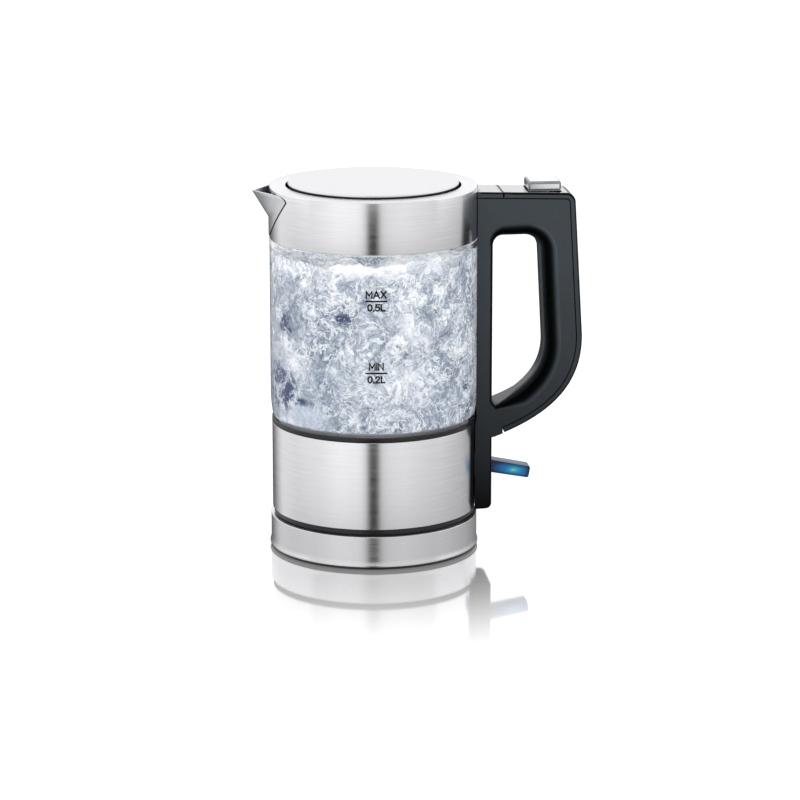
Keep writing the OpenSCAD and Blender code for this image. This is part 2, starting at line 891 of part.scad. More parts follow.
module switch_frame() {
    back_x = 43;
    cheek_y = 6.5;
    cheek_t = 2;
    color("ivory")
        difference() {
            union() {
                block(back_x - 2, back_x + 0.1, 20, 32, 50);
                block(back_x, back_x + 2, 16, 49, 63);
                for (side = [-1, 1])
                    translate([0, side * cheek_y, 0]) block(back_x, 54, cheek_t, 36, 48);
            }
            rod_y(pivot_x, pivot_z, lever_pin_r + 0.02, 30);
        }
}

module steam_bimetal() {
    color("silver") rod_x(45.1, 56.4, 6.2, 0.5);
}

module switch_pin() {
    color("silver") rod_y(pivot_x, pivot_z, lever_pin_r, 15);
}

// The lever lies along its own x from the pivot, then tilts down
module switch_lever() {
    color([0.3, 0.55, 0.85, 0.8])
        translate([pivot_x, 0, pivot_z])
            rotate([0, lever_tilt, 0])
                difference() {
                    union() {
                        rod_y(0, 0, 3.3, lever_w);
                        side_plate([[-5.5, -1.2], [0, -lever_root_t / 2],
                            [lever_l - 0.6, -lever_tip_t / 2], [lever_l, -lever_tip_t / 2 + 0.6],
                            [lever_l, lever_tip_t / 2 - 0.6], [lever_l - 0.6, lever_tip_t / 2],
                            [0, lever_root_t / 2], [-5.5, 1.2]], lever_w);
                    }
                    rod_y(0, 0, lever_pin_r + 0.06, 20);
                    translate([lamp_x, 0, -5]) cylinder(r = 1.6, h = 6.3);
                }
}

module switch_lamp() {
    color("lightcyan")
        translate([pivot_x, 0, pivot_z])
            rotate([0, lever_tilt, 0])
                translate([lamp_x, 0, -2.4]) {
                    cylinder(r = 1.5, h = 2.2);
                    translate([0, 0, 2.2]) sphere(r = 1.4);
                }
}

module handle_screws() {
    head_r = 1.8;
    shank_r = 1.4;
    color("silver") {
        rod_x(50.5, upper_screw_z, head_r, 1.65);
        rod_x(52.1, upper_screw_z, shank_r, 6);
        rod_x(48.6, lower_screw_z, 2.6, 1.45);
        rod_x(50, lower_screw_z, shank_r, 6.9);
    }
}

base_ring();
base_top_plate();
base_bottom_plate();
base_foot_ring();
base_connector();
base_contacts();
base_screws();
cord_gland();
plug_housing();
plug_contacts();
jug_bottom_cover();
lower_band();
control_unit();
bimetal_discs();
heating_plate();
heating_element();
lower_seal();
lower_ring();
inner_wires();
control_screws();
glass_body();
upper_seal();
collar();
spout();
collar_liner();
hinge_pin();
lid_cap();
lid_shell();
lid_plate();
lid_spring();
handle_body();
handle_cover();
hinge_cover();
lid_button();
button_spring();
latch_slider();
latch_spring();
steam_duct();
steam_bimetal();
switch_frame();
switch_pin();
switch_lever();
switch_lamp();
handle_screws();
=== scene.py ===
import math
import random

import bmesh
import bpy
from mathutils import Matrix, Vector, noise


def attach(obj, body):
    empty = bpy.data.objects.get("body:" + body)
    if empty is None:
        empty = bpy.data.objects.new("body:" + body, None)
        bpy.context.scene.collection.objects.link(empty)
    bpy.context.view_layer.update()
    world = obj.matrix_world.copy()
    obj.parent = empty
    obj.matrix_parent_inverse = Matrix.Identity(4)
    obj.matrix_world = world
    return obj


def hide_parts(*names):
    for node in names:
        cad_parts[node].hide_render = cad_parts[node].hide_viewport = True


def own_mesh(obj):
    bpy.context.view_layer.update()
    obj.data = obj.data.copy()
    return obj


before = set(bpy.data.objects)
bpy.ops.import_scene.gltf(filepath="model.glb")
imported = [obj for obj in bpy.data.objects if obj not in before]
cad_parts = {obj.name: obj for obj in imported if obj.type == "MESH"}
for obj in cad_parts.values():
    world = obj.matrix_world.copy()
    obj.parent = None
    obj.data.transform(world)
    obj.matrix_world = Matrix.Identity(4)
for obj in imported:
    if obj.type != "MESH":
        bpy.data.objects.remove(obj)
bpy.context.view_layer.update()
MM = 0.001
TAU = 2 * math.pi

# ---------------------------------------------------------------- sizes, in millimetres

JUG_R = 53.0
BAND_R = 52.35
GLASS_WALL = 2.2
GLASS_LOW = 66.2
GLASS_TOP = 161.5
GLASS_BEND_Z = 82.0
GLASS_BEND = 1.8
COLLAR_LOW = 161.8
COLLAR_TOP = 188.4
COLLAR_WALL = 0.8
MOUTH_R = 44.7
LID_R = 43.5
LID_TOP = 190.3
BAND_CUT = 24.7
SPINE_X = 60.0
HANDLE_HALF = 12.0
SEAM_X = 65.3
STRIP_T = 3.0
PIVOT = (50.0, 41.9)
LEVER_TILT = 10.7

# ---------------------------------------------------------------- mesh helpers


def add_object(name, verts, faces, normals=None, sharp=32):
    """A mesh object from points in millimetres."""
    mesh = bpy.data.meshes.new(name)
    mesh.from_pydata([Vector(v) * MM for v in verts], [], faces)
    mesh.validate()
    obj = bpy.data.objects.new(name, mesh)
    bpy.context.scene.collection.objects.link(obj)
    for p in mesh.polygons:
        p.use_smooth = True
    if normals is not None:
        mesh.normals_split_custom_set_from_vertices(normals)
    elif sharp:
        mesh.set_sharp_from_angle(angle=math.radians(sharp))
    return obj


def arc(cx, cz, r, a, b, n):
    """n + 1 points of a circular arc, angles in degrees."""
    out = []
    for i in range(n + 1):
        t = math.radians(a + (b - a) * i / n)
        out.append((cx + r * math.cos(t), cz + r * math.sin(t)))
    return out


def curve(p0, p1, p2, p3, s, e, n):
    """Points of a cubic curve from share s to share e."""
    out = []
    for i in range(n + 1):
        t = s + (e - s) * i / n
        q = 1 - t
        w = (q ** 3, 3 * q * q * t, 3 * q * t * t, t ** 3)
        out.append(tuple(sum(k * p[j] for k, p in zip(w, (p0, p1, p2, p3))) for j in (0, 1)))
    return out


def softened(profile, r, steps=4):
    """Rounds the corners of a closed (r, z) profile by a radius, or less where a side is short."""
    out = []
    n = len(profile)
    for i in range(n):
        p = Vector(profile[i])
        a = Vector(profile[i - 1]) - p
        b = Vector(profile[(i + 1) % n]) - p
        cut = min(r, a.length * 0.45, b.length * 0.45)
        if abs(p.x) < 1e-6 or a.angle(b) > math.radians(165):
            out.append(tuple(p))
            continue
        s = p + a.normalized() * cut
        e = p + b.normalized() * cut
        for k in range(steps + 1):
            t = k / steps
            out.append(tuple((1 - t) ** 2 * s + 2 * t * (1 - t) * p + t * t * e))
    return out


def lathe(name, profile, steps=240, start=0.0, end=360.0, sharp=32):
    """Turns a closed profile of (r, z) about the jug's axis; less than a full turn gets end faces."""
    full = end - start > 359.9
    columns = steps if full else steps + 1
    verts, faces, rows = [], [], []
    poles = {}
    for c in range(columns):
        a = math.radians(start + (end - start) * c / steps)
        row = []
        for i, (r, z) in enumerate(profile):
            if r < 1e-6:
                if i not in poles:
                    poles[i] = len(verts)
                    verts.append((0, 0, z))
                row.append(poles[i])
            else:
                row.append(len(verts))
                verts.append((r * math.cos(a), r * math.sin(a), z))
        rows.append(row)
    n = len(profile)
    for c in range(steps):
        a, b = rows[c], rows[(c + 1) % columns]
        for i in range(n):
            j = (i + 1) % n
            quad = []
            for v in (a[i], b[i], b[j], a[j]):
                if v not in quad:
                    quad.append(v)
            if len(quad) > 2:
                faces.append(quad)
    if not full:
        faces.append(list(rows[0]))
        faces.append(list(reversed(rows[-1])))
    obj = add_object(name, verts, faces, sharp=None)
    fix_normals(obj)
    if sharp:
        obj.data.set_sharp_from_angle(angle=math.radians(sharp))
    return obj


def fix_normals(obj):
    """Turns every face outwards."""
    bm = bmesh.new()
    bm.from_mesh(obj.data)
    bmesh.ops.recalc_face_normals(bm, faces=bm.faces)
    bm.to_mesh(obj.data)
    bm.free()


def loop_normals(points):
    """Outward unit normals of a closed outline that runs anticlockwise."""
    out = []
    n = len(points)
    for i in range(n):
        a = (Vector(points[i]) - Vector(points[i - 1])).normalized()
        b = (Vector(points[(i + 1) % n]) - Vector(points[i])).normalized()
        d = (a + b).normalized()
        out.append(Vector((d.y, -d.x)))
    return out


def slab(name, loops, half, wall_r=None, rings=7, columns=8):
    """A plate in the x-z plane with rounded edges. loops holds (points, edge radii); the first runs
    anticlockwise, holes clockwise. Points left of x = 53.2 follow the jug's wall where wall_r is set."""
    bm = bmesh.new()
    normal_of = {}

    def vert(x, y, z, n):
        v = bm.verts.new(Vector((x, y, z)) * MM)
        normal_of[v] = n
        return v

    face_edges = {1: [], -1: []}
    for points, radii in loops:
        outward = loop_normals(points)
        count = len(points)
        levels = []
        for side in (1, -1):
            for k in range(rings + 1):
                theta = math.pi / 2 * k / rings
                levels.append((side, theta))
        ladder = [(s, t) for s, t in levels if s == 1]
        middle = [1 - 2 * (k + 1) / (columns + 1) for k in range(columns)]
        ladder += [(m, None) for m in middle]
        ladder += [(s, t) for s, t in reversed(levels) if s == -1]
        grid = []
        for side, theta in ladder:
            row = []
            for p, o, r in zip(points, outward, radii):
                if theta is None:
                    inset, y, n = 0.0, side * (half - r), Vector((o.x, 0, o.y))
                else:
                    inset = r * (1 - math.sin(theta))
                    y = side * (half - r * (1 - math.cos(theta)))
                    n = Vector((o.x * math.sin(theta), side * math.cos(theta), o.y * math.sin(theta)))
                x = p[0] - o.x * inset
                z = p[1] - o.y * inset
                if wall_r and p[0] < 53.2:
                    r_here = wall_r(p[1])
                    x = math.sqrt(r_here ** 2 - y * y) + inset
                row.append(vert(x, y, z, n))
            grid.append(row)
        for a, b in zip(grid, grid[1:]):
            for i in range(count):
                j = (i + 1) % count
                quad = (a[i], a[j], b[j], b[i])
                if (quad[0].co - quad[3].co).length + (quad[1].co - quad[2].co).length > 1e-8:
                    bm.faces.new(quad)
        for side, row in ((1, grid[0]), (-1, grid[-1])):
            for i in range(count):
                face_edges[side].append(bm.edges.get((row[i], row[(i + 1) % count])))
    for side in (1, -1):
        bmesh.ops.triangle_fill(bm, use_beauty=True, edges=face_edges[side], normal=(0, side, 0))
    bmesh.ops.recalc_face_normals(bm, faces=bm.faces)
    bm.verts.index_update()
    normals = [normal_of[v] for v in bm.verts]
    mesh = bpy.data.meshes.new(name)
    bm.to_mesh(mesh)
    bm.free()
    obj = bpy.data.objects.new(name, mesh)
    bpy.context.scene.collection.objects.link(obj)
    for p in mesh.polygons:
        p.use_smooth = True
    mesh.normals_split_custom_set_from_vertices(normals)
    return obj


def block(name, x0, x1, y0, y1, z0, z1, bevel=0.6, segments=4):
    """A box with rounded edges."""
    bm = bmesh.new()
    bmesh.ops.create_cube(bm, size=1)
    for v in bm.verts:
        v.co = Vector((x0 + (v.co.x + 0.5) * (x1 - x0), y0 + (v.co.y + 0.5) * (y1 - y0),
                       z0 + (v.co.z + 0.5) * (z1 - z0))) * MM
    bmesh.ops.bevel(bm, geom=list(bm.edges), offset=bevel * MM, segments=segments, profile=0.5,
                    affect="EDGES", clamp_overlap=True)
    mesh = bpy.data.meshes.new(name)
    bm.to_mesh(mesh)
    bm.free()
    obj = bpy.data.objects.new(name, mesh)
    bpy.context.scene.collection.objects.link(obj)
    for p in mesh.polygons:
        p.use_smooth = True
    mesh.set_sharp_from_angle(angle=math.radians(30))
    return obj


def extruded(name, outline, y0, y1, bevel=0.3, segments=2):
    """An outline in the x-z plane, given depth in y and small rounded edges."""
    bm = bmesh.new()
    front = [bm.verts.new(Vector((x, y0, z)) * MM) for x, z in outline]
    face = bm.faces.new(front)
    extrusion = bmesh.ops.extrude_face_region(bm, geom=[face])
    moved = [v for v in extrusion["geom"] if isinstance(v, bmesh.types.BMVert)]
    bmesh.ops.translate(bm, verts=moved, vec=Vector((0, y1 - y0, 0)) * MM)
    bmesh.ops.recalc_face_normals(bm, faces=bm.faces)
    edges = [e for e in bm.edges if e.is_manifold and e.calc_face_angle() > math.radians(25)]
    if bevel:
        bmesh.ops.bevel(bm, geom=edges, offset=bevel * MM, segments=segments, profile=0.5,
                        affect="EDGES", clamp_overlap=True)
    mesh = bpy.data.meshes.new(name)
    bm.to_mesh(mesh)
    bm.free()
    obj = bpy.data.objects.new(name, mesh)
    bpy.context.scene.collection.objects.link(obj)
    for p in mesh.polygons:
        p.use_smooth = True
    mesh.set_sharp_from_angle(angle=math.radians(30))
    return obj


def join(name, objs):
    """Joins meshes into the first one."""
    bm = bmesh.new()
    for o in objs:
        o.data.transform(o.matrix_world)
        o.matrix_world = Matrix.Identity(4)
        bm.from_mesh(o.data)
    mesh = bpy.data.meshes.new(name)
    bm.to_mesh(mesh)
    bm.free()
    for o in objs:
        bpy.data.objects.remove(o)
    obj = bpy.data.objects.new(name, mesh)
    bpy.context.scene.collection.objects.link(obj)
    for p in mesh.polygons:
        p.use_smooth = True
    mesh.set_sharp_from_angle(angle=math.radians(30))
    return obj


def cut(obj, *tools):
    """Takes the tools' shapes out of obj."""
    for tool in tools:
        modifier = obj.modifiers.new("cut", "BOOLEAN")
        modifier.operation = "DIFFERENCE"
        modifier.solver = "EXACT"
        modifier.object = tool
    graph = bpy.context.evaluated_depsgraph_get()
    mesh = bpy.data.meshes.new_from_object(obj.evaluated_get(graph))
    obj.modifiers.clear()
    obj.data = mesh
    for tool in tools:
        bpy.data.objects.remove(tool)
    for p in mesh.polygons:
        p.use_smooth = True
    mesh.set_sharp_from_angle(angle=math.radians(32))
    return obj


def coil(name, centre, axis, coil_r, wire_r, turns, height):
    """A smooth coil spring along axis, from centre on."""
    sides, per_turn = 10, 28
    total = int(turns * per_turn)
    rise = height - 2 * wire_r
    line = []
    for i in range(total + 1):
        t = TAU * i / per_turn
        line.append(Vector((coil_r * math.cos(t), coil_r * math.sin(t), wire_r + rise * i / total)))
    verts, faces = [], []
    for i, p in enumerate(line):
        t = TAU * i / per_turn
        out = Vector((math.cos(t), math.sin(t), 0))
        for k in range(sides):
            b = TAU * k / sides
            verts.append(p + (out * math.cos(b) + Vector((0, 0, 1)) * math.sin(b)) * wire_r)
    for i in range(total):
        for k in range(sides):
            a, b = i * sides + k, i * sides + (k + 1) % sides
            faces.append((a, b, b + sides, a + sides))
    faces.append(tuple(reversed(range(sides))))
    faces.append(tuple(total * sides + k for k in range(sides)))
    turn = Vector((0, 0, 1)).rotation_difference(Vector(axis)).to_matrix()
    verts = [turn @ v + Vector(centre) for v in verts]
    return add_object(name, verts, faces)


# ---------------------------------------------------------------- material helpers


class Paint:
    """Builds a procedural material round one Principled shader."""

    def __init__(self, name, base, rough, metallic=0.0):
        self.material = bpy.data.materials.new(name)
        self.material.use_nodes = True
        self.tree = self.material.node_tree
        self.shader = self.tree.nodes["Principled BSDF"]
        self.set("Base Color", (*base, 1))
        self.set("Roughness", rough)
        self.set("Metallic", metallic)
        self.coords = self.tree.nodes.new("ShaderNodeTexCoord").outputs["Object"]

    def set(self, socket, value):
        self.shader.inputs[socket].default_value = value

    def put(self, output, socket):
        self.tree.links.new(output, self.shader.inputs[socket])

    def math(self, kind, a, b=None, clamp=False):
        node = self.tree.nodes.new("ShaderNodeMath")
        node.operation = kind
        node.use_clamp = clamp
        for i, v in enumerate((a, b)):
            if v is None:
                continue
            if isinstance(v, (int, float)):
                node.inputs[i].default_value = v
            else:
                self.tree.links.new(v, node.inputs[i])
        return node.outputs[0]

    def split(self, vector=None):
        node = self.tree.nodes.new("ShaderNodeSeparateXYZ")
        self.tree.links.new(vector or self.coords, node.inputs[0])
        return node.outputs

    def join(self, x, y, z):
        node = self.tree.nodes.new("ShaderNodeCombineXYZ")
        for i, v in enumerate((x, y, z)):
            if isinstance(v, (int, float)):
                node.inputs[i].default_value = v
            else:
                self.tree.links.new(v, node.inputs[i])
        return node.outputs[0]

    def stretch(self, scale, vector=None):
        node = self.tree.nodes.new("ShaderNodeMapping")
        node.inputs["Scale"].default_value = scale
        self.tree.links.new(vector or self.coords, node.inputs["Vector"])
        return node.outputs[0]

    def noise(self, scale, detail=4.0, rough=0.55, vector=None, distortion=0.0):
        node = self.tree.nodes.new("ShaderNodeTexNoise")
        node.inputs["Scale"].default_value = scale
        node.inputs["Detail"].default_value = detail
        node.inputs["Roughness"].default_value = rough
        node.inputs["Distortion"].default_value = distortion
        self.tree.links.new(vector or self.coords, node.inputs["Vector"])
        return node.outputs["Fac"]

    def cells(self, scale, feature="F1", vector=None, output="Distance", randomness=1.0):
        node = self.tree.nodes.new("ShaderNodeTexVoronoi")
        node.feature = feature
        node.inputs["Scale"].default_value = scale
        node.inputs["Randomness"].default_value = randomness
        self.tree.links.new(vector or self.coords, node.inputs["Vector"])
        return node.outputs[output]

    def ramp(self, fac, stops):
        node = self.tree.nodes.new("ShaderNodeValToRGB")
        elements = node.color_ramp.elements
        while len(elements) < len(stops):
            elements.new(0.5)
        for e, (at, colour) in zip(elements, stops):
            e.position = at
            e.color = (*colour, 1) if len(colour) == 3 else colour
        self.tree.links.new(fac, node.inputs["Fac"])
        return node.outputs["Color"]

    def span(self, fac, low, high, to_low, to_high):
        node = self.tree.nodes.new("ShaderNodeMapRange")
        node.inputs["From Min"].default_value = low
        node.inputs["From Max"].default_value = high
        node.inputs["To Min"].default_value = to_low
        node.inputs["To Max"].default_value = to_high
        self.tree.links.new(fac, node.inputs["Value"])
        return node.outputs["Result"]

    def blend(self, fac, a, b, kind="MIX"):
        node = self.tree.nodes.new("ShaderNodeMix")
        node.data_type = "RGBA"
        node.blend_type = kind
        for socket, v in (("Factor", fac), ("A", a), ("B", b)):
            found = [s for s in node.inputs if s.name == socket and s.enabled]
            target = found[0]
            if isinstance(v, (int, float)):
                target.default_value = v
            elif isinstance(v, tuple):
                target.default_value = (*v, 1)
            else:
                self.tree.links.new(v, target)
        return [s for s in node.outputs if s.enabled][0]

    def bump(self, height, strength, distance):
        node = self.tree.nodes.new("ShaderNodeBump")
        node.inputs["Strength"].default_value = strength
        node.inputs["Distance"].default_value = distance
        self.tree.links.new(height, node.inputs["Height"])
        if self.shader.inputs["Normal"].is_linked:
            before = self.shader.inputs["Normal"].links[0].from_socket
            self.tree.links.new(before, node.inputs["Normal"])
        self.put(node.outputs[0], "Normal")


def brushed(name, base, rough=0.24, linear=False, streak=0.05, anisotropy=0.85):
    """Brushed stainless steel, with scratches round the axis or along X."""
    p = Paint(name, base, rough, metallic=1.0)
    x, y, z = p.split()
    if linear:
        fine = p.join(p.math("MULTIPLY", x, 26), p.math("MULTIPLY", y, 3800), p.math("MULTIPLY", z, 300))
        wide = p.join(p.math("MULTIPLY", x, 9), p.math("MULTIPLY", y, 700), p.math("MULTIPLY", z, 60))
    else:
        turn = p.math("ARCTAN2", y, x)
        radius = p.math("SQRT", p.math("ADD", p.math("MULTIPLY", x, x), p.math("MULTIPLY", y, y)))
        across = p.math("ADD", z, radius)
        fine = p.join(p.math("MULTIPLY", turn, 2.6), p.math("MULTIPLY", across, 3600), 0.0)
        wide = p.join(p.math("MULTIPLY", turn, 1.1), p.math("MULTIPLY", across, 650), 0.0)
    scratches = p.noise(1.0, 3.0, 0.6, fine)
    bands = p.noise(1.0, 2.0, 0.5, wide)
    both = p.math("ADD", p.math("MULTIPLY", scratches, 0.75), p.math("MULTIPLY", bands, 0.25))
    light = tuple(min(1.0, c * (1 + streak)) for c in base)
    dark = tuple(c * (1 - streak) for c in base)
    p.put(p.ramp(both, [(0.3, dark), (0.7, light)]), "Base Color")
    p.put(p.span(both, 0.25, 0.75, rough - 0.05, rough + 0.06), "Roughness")
    p.bump(scratches, 0.25, 0.00002)
    p.set("Anisotropic", anisotropy)
    p.set("Anisotropic Rotation", 0.25)
    tangent = p.tree.nodes.new("ShaderNodeTangent")
    tangent.direction_type = "RADIAL"
    tangent.axis = "Y" if linear else "Z"
    p.put(tangent.outputs[0], "Tangent")
    return p.material


def moulded(name, base, rough, grain=0.00003, scale=2600, spread=0.12, specular=0.5):
    """Moulded plastic with a fine spark-eroded grain and slow changes of tone."""
    p = Paint(name, base, rough)
    slow = p.noise(35.0, 3.0)
    grainy = p.noise(scale, 3.0, 0.6)
    light = tuple(c * (1 + spread) for c in base)
    dark = tuple(c * (1 - spread) for c in base)
    p.put(p.ramp(slow, [(0.3, dark), (0.7, light)]), "Base Color")
    p.put(p.span(slow, 0.3, 0.7, rough - 0.05, rough + 0.05), "Roughness")
    p.set("Specular IOR Level", specular)
    p.bump(grainy, 0.35, grain)
    return p.material


def make_handle_plastic():
    """Satin black plastic with painted light and shade: painted deep black shade in its roundings,
    greyer on its flat sides and higher up, and a painted highlight on roundings that face left.
    """
    p = Paint("plastic_handle", (0.03, 0.036, 0.041), 0.3)
    slow = p.noise(35.0, 3.0)
    grey = p.ramp(slow, [(0.3, (0.028, 0.034, 0.039)), (0.7, (0.034, 0.041, 0.047))])
    normal = p.tree.nodes.new("ShaderNodeTexCoord").outputs["Normal"]
    x, y, z = p.split(normal)
    across = p.math("SQRT", p.math("ADD", p.math("MULTIPLY", x, x), p.math("MULTIPLY", z, z)))
    # painted shade: deep black partway round the roundings, grey on the flat sides, lighter again on
    # walls that face fully sideways
    painted_rounding_shade = p.ramp(across, [(0.0, (0.80, 0.80, 0.80)), (0.14, (0.66, 0.66, 0.66)),
                             (0.28, (0.26, 0.26, 0.26)), (0.42, (0.07, 0.07, 0.07)),
                             (0.55, (0.02, 0.02, 0.02)), (0.72, (0.02, 0.02, 0.02)),
                             (0.86, (0.3, 0.3, 0.3)), (1.0, (0.55, 0.55, 0.55))])
    leftward = p.math("MULTIPLY", x, -12.0, clamp=True)
    # painted highlight on roundings that face left
    painted_gleam = p.ramp(across, [(0.0, (0.0, 0.0, 0.0)), (0.05, (0.45, 0.45, 0.45)),
                            (0.16, (0.45, 0.45, 0.45)), (0.36, (0.0, 0.0, 0.0))])
    side = p.blend(leftward, painted_rounding_shade, p.blend(1.0, painted_rounding_shade, painted_gleam, "ADD"))
    # painted shade: darker towards the bottom of the handle
    height = p.ramp(p.span(p.split()[2], 0.02, 0.19, 0.0, 1.0),
                    [(0.0, (0.1, 0.1, 0.1)), (0.16, (0.42, 0.42, 0.42)), (0.4, (0.66, 0.66, 0.66)),
                     (0.72, (0.95, 0.95, 0.95)), (1.0, (1.0, 1.0, 1.0))])
    # tone holds all the painted light and shade above
    tone = p.blend(1.0, side, height, "MULTIPLY")
    lifted = p.blend(1.0, grey, (1.5, 1.5, 1.5), "MULTIPLY")
    p.put(p.blend(1.0, lifted, tone, "MULTIPLY"), "Base Color")
    # the painted shade also dims the reflection through the specular tint
    p.put(tone, "Specular Tint")
    p.put(p.span(slow, 0.3, 0.7, 0.26, 0.34), "Roughness")
    p.set("Specular IOR Level", 0.28)
    p.bump(p.noise(2600, 3.0, 0.6), 0.35, 0.00002)
    return p.material


def make_handle_top():
    """The same plastic where it lies flat and takes the light of the whole studio."""
    p = Paint("plastic_handle_top", (0.03, 0.032, 0.035), 0.12)
    slow = p.noise(35.0, 3.0)
    p.put(p.ramp(slow, [(0.3, (0.025, 0.027, 0.03)), (0.7, (0.035, 0.038, 0.042))]), "Base Color")
    p.put(p.span(slow, 0.3, 0.7, 0.1, 0.15), "Roughness")
    p.set("Specular IOR Level", 0.7)
    p.set("Coat Weight", 0.8)
    p.set("Coat Roughness", 0.1)
    p.bump(p.noise(2600, 3.0, 0.6), 0.15, 0.00001)
    return p.material


def plated(name, base, rough, scale=900, stain=0.82):
    """Plated or stamped metal with faint drawing marks and stains."""
    p = Paint(name, base, rough, metallic=1.0)
    marks = p.noise(scale, 4.0, 0.6)
    stains = p.noise(120, 3.0)
    light = tuple(min(1.0, c * 1.08) for c in base)
    dark = tuple(c * stain for c in base)
    p.put(p.ramp(stains, [(0.32, dark), (0.6, light)]), "Base Color")
    p.put(p.span(stains, 0.3, 0.7, rough - 0.06, rough + 0.1), "Roughness")
    p.bump(marks, 0.3, 0.00002)
    return p.material


# ---------------------------------------------------------------- materials


def make_glass():
    p = Paint("glass", (0.97, 0.985, 1.0), 0.015)
    p.set("Transmission Weight", 1.0)
    p.set("IOR", 1.47)
    smear = p.noise(60.0, 3.0)
    p.put(p.span(smear, 0.35, 0.75, 0.008, 0.03), "Roughness")
    tint = p.noise(14.0, 2.0)
    p.put(p.ramp(tint, [(0.3, (0.955, 0.975, 0.992)), (0.7, (0.985, 0.993, 1.0))]), "Base Color")
    p.bump(p.noise(28.0, 2.0), 0.06, 0.0004)
    return p.material


def wall_point(degrees, z, r=50.5):
    """A point near the glass wall, in metres."""
    a = math.radians(degrees)
    return Vector((r * math.cos(a), r * math.sin(a), z)) * MM


def make_water():
    """Violently boiling water: white froth, blue-grey folds and a few deep-blue hollows, with painted
    shade patches, a painted sheen on the front crest and a painted glow.
    """
    p = Paint("boiling_water", (0.62, 0.68, 0.74), 0.12)
    warp = p.tree.nodes.new("ShaderNodeTexNoise")
    warp.inputs["Scale"].default_value = 60.0
    warp.inputs["Detail"].default_value = 3.0
    p.tree.links.new(p.coords, warp.inputs["Vector"])
    shift = p.tree.nodes.new("ShaderNodeVectorMath")
    shift.operation = "MULTIPLY_ADD"
    p.tree.links.new(warp.outputs["Color"], shift.inputs[0])
    shift.inputs[1].default_value = (0.02, 0.02, 0.02)
    p.tree.links.new(p.coords, shift.inputs[2])
    swirl = shift.outputs[0]
    folds = p.noise(110.0, 7.0, 0.6, swirl, 0.5)
    fine = p.noise(520.0, 5.0, 0.7, swirl, 0.15)
    broad = p.noise(36.0, 3.0, 0.5, swirl)
    clots = p.cells(230.0, "SMOOTH_F1", swirl)
    beads = p.cells(640.0, "F1", swirl)
    mixed = p.math("ADD", p.math("MULTIPLY", folds, 0.38), p.math("MULTIPLY", fine, 0.30))
    mixed = p.math("ADD", mixed, p.math("MULTIPLY", broad, 0.32))
    mixed = p.math("ADD", mixed, p.math("MULTIPLY", p.math("SUBTRACT", 0.42, clots), 0.10))
    mixed = p.math("ADD", mixed, p.math("MULTIPLY", p.math("SUBTRACT", 0.38, beads), 0.13))
    body = p.ramp(mixed, [(0.36, (0.09, 0.115, 0.165)), (0.42, (0.24, 0.28, 0.345)),
                          (0.475, (0.42, 0.46, 0.52)), (0.525, (0.60, 0.635, 0.68)),
                          (0.565, (0.83, 0.845, 0.87)), (0.60, (1.0, 1.0, 1.0))])
    calm = p.span(p.noise(32.0, 2.0, 0.5, swirl), 0.5, 0.62, 0.0, 0.5)
    body = p.blend(calm, body, (0.66, 0.69, 0.73))
    for scale, width, colour, weight in ((58.0, 0.02, (0.14, 0.18, 0.26), 0.7),
                                         (84.0, 0.024, (1.0, 1.0, 1.0), 0.85),
                                         (150.0, 0.026, (0.22, 0.26, 0.34), 0.4)):
        wave = p.noise(scale, 5.0, 0.6, swirl, 0.3)
        rim = p.span(p.math("ABSOLUTE", p.math("SUBTRACT", wave, 0.5)), 0.0, width, weight, 0.0)
        body = p.blend(rim, body, colour)
    # painted shade: darker blue-grey patches towards the left and lower left, fainter on the right
    painted_shade_spots = [(-168, 96, 0.016, 0.034, 0.5), (-128, 92, 0.022, 0.012, 0.3), (-18, 104, 0.010, 0.04, 0.1),
              (-150, 140, 0.012, 0.010, 0.35), (-48, 84, 0.016, 0.010, 0.25)]
    for degrees, z, wide, high, weight in painted_shade_spots:
        painted_shade_spot = near(p, wall_point(degrees, z), wide, high, 0.012)
        body = p.blend(p.math("MULTIPLY", painted_shade_spot, weight), body, (0.20, 0.25, 0.34))
    smooth = near(p, wall_point(-137, 75), 0.016, 0.011, 0.004)
    body = p.blend(p.math("MULTIPLY", smooth, 0.75), body, (0.46, 0.51, 0.59))
    hollows = [(-158, 89, 0.014, 0.012), (-114, 129, 0.0065, 0.0035), (-152, 121, 0.005, 0.008),
               (-33, 87, 0.003, 0.003), (-60, 131, 0.003, 0.002), (-145, 84, 0.014, 0.0025),
               (60, 100, 0.010, 0.008), (150, 120, 0.009, 0.007)]
    dark = None
    for degrees, z, wide, high in hollows:
        spot = near(p, wall_point(degrees, z), wide, high, 0.006)
        dark = spot if dark is None else p.math("MAXIMUM", dark, spot)
    torn = p.span(p.math("ADD", folds, p.math("MULTIPLY", beads, -0.2)), 0.36, 0.48, 1.0, 0.0)
    dark = p.math("MULTIPLY", dark, torn, clamp=True)
    body = p.blend(dark, body, (0.022, 0.045, 0.12))
    height = p.split()[2]
    level = p.math("ADD", height, p.math("MULTIPLY", p.math("SUBTRACT", broad, 0.5), 0.03))
    froth = p.span(level, 0.148, 0.162, 0.0, 0.8)
    # white froth crest at the front top, partly a painted sheen
    froth_and_sheen_crest = near(p, wall_point(-101, 160), 0.027, 0.010, 0.01)
    body = p.blend(p.math("MULTIPLY", froth_and_sheen_crest, 0.9), body, (1.0, 1.0, 1.0))
    body = p.blend(p.math("MULTIPLY", froth, 0.35), body, (1.0, 1.0, 1.0))
    p.put(body, "Base Color")
    # painted glow: the water gives off its own colour as light
    p.put(body, "Emission Color")
    p.set("Emission Strength", 0.65)
    p.put(p.span(fine, 0.3, 0.7, 0.05, 0.22), "Roughness")
    p.set("Specular IOR Level", 0.8)
    p.bump(folds, 1.0, 0.006)
    p.bump(beads, 0.7, 0.0015)
    p.bump(fine, 0.8, 0.0015)
    return p.material


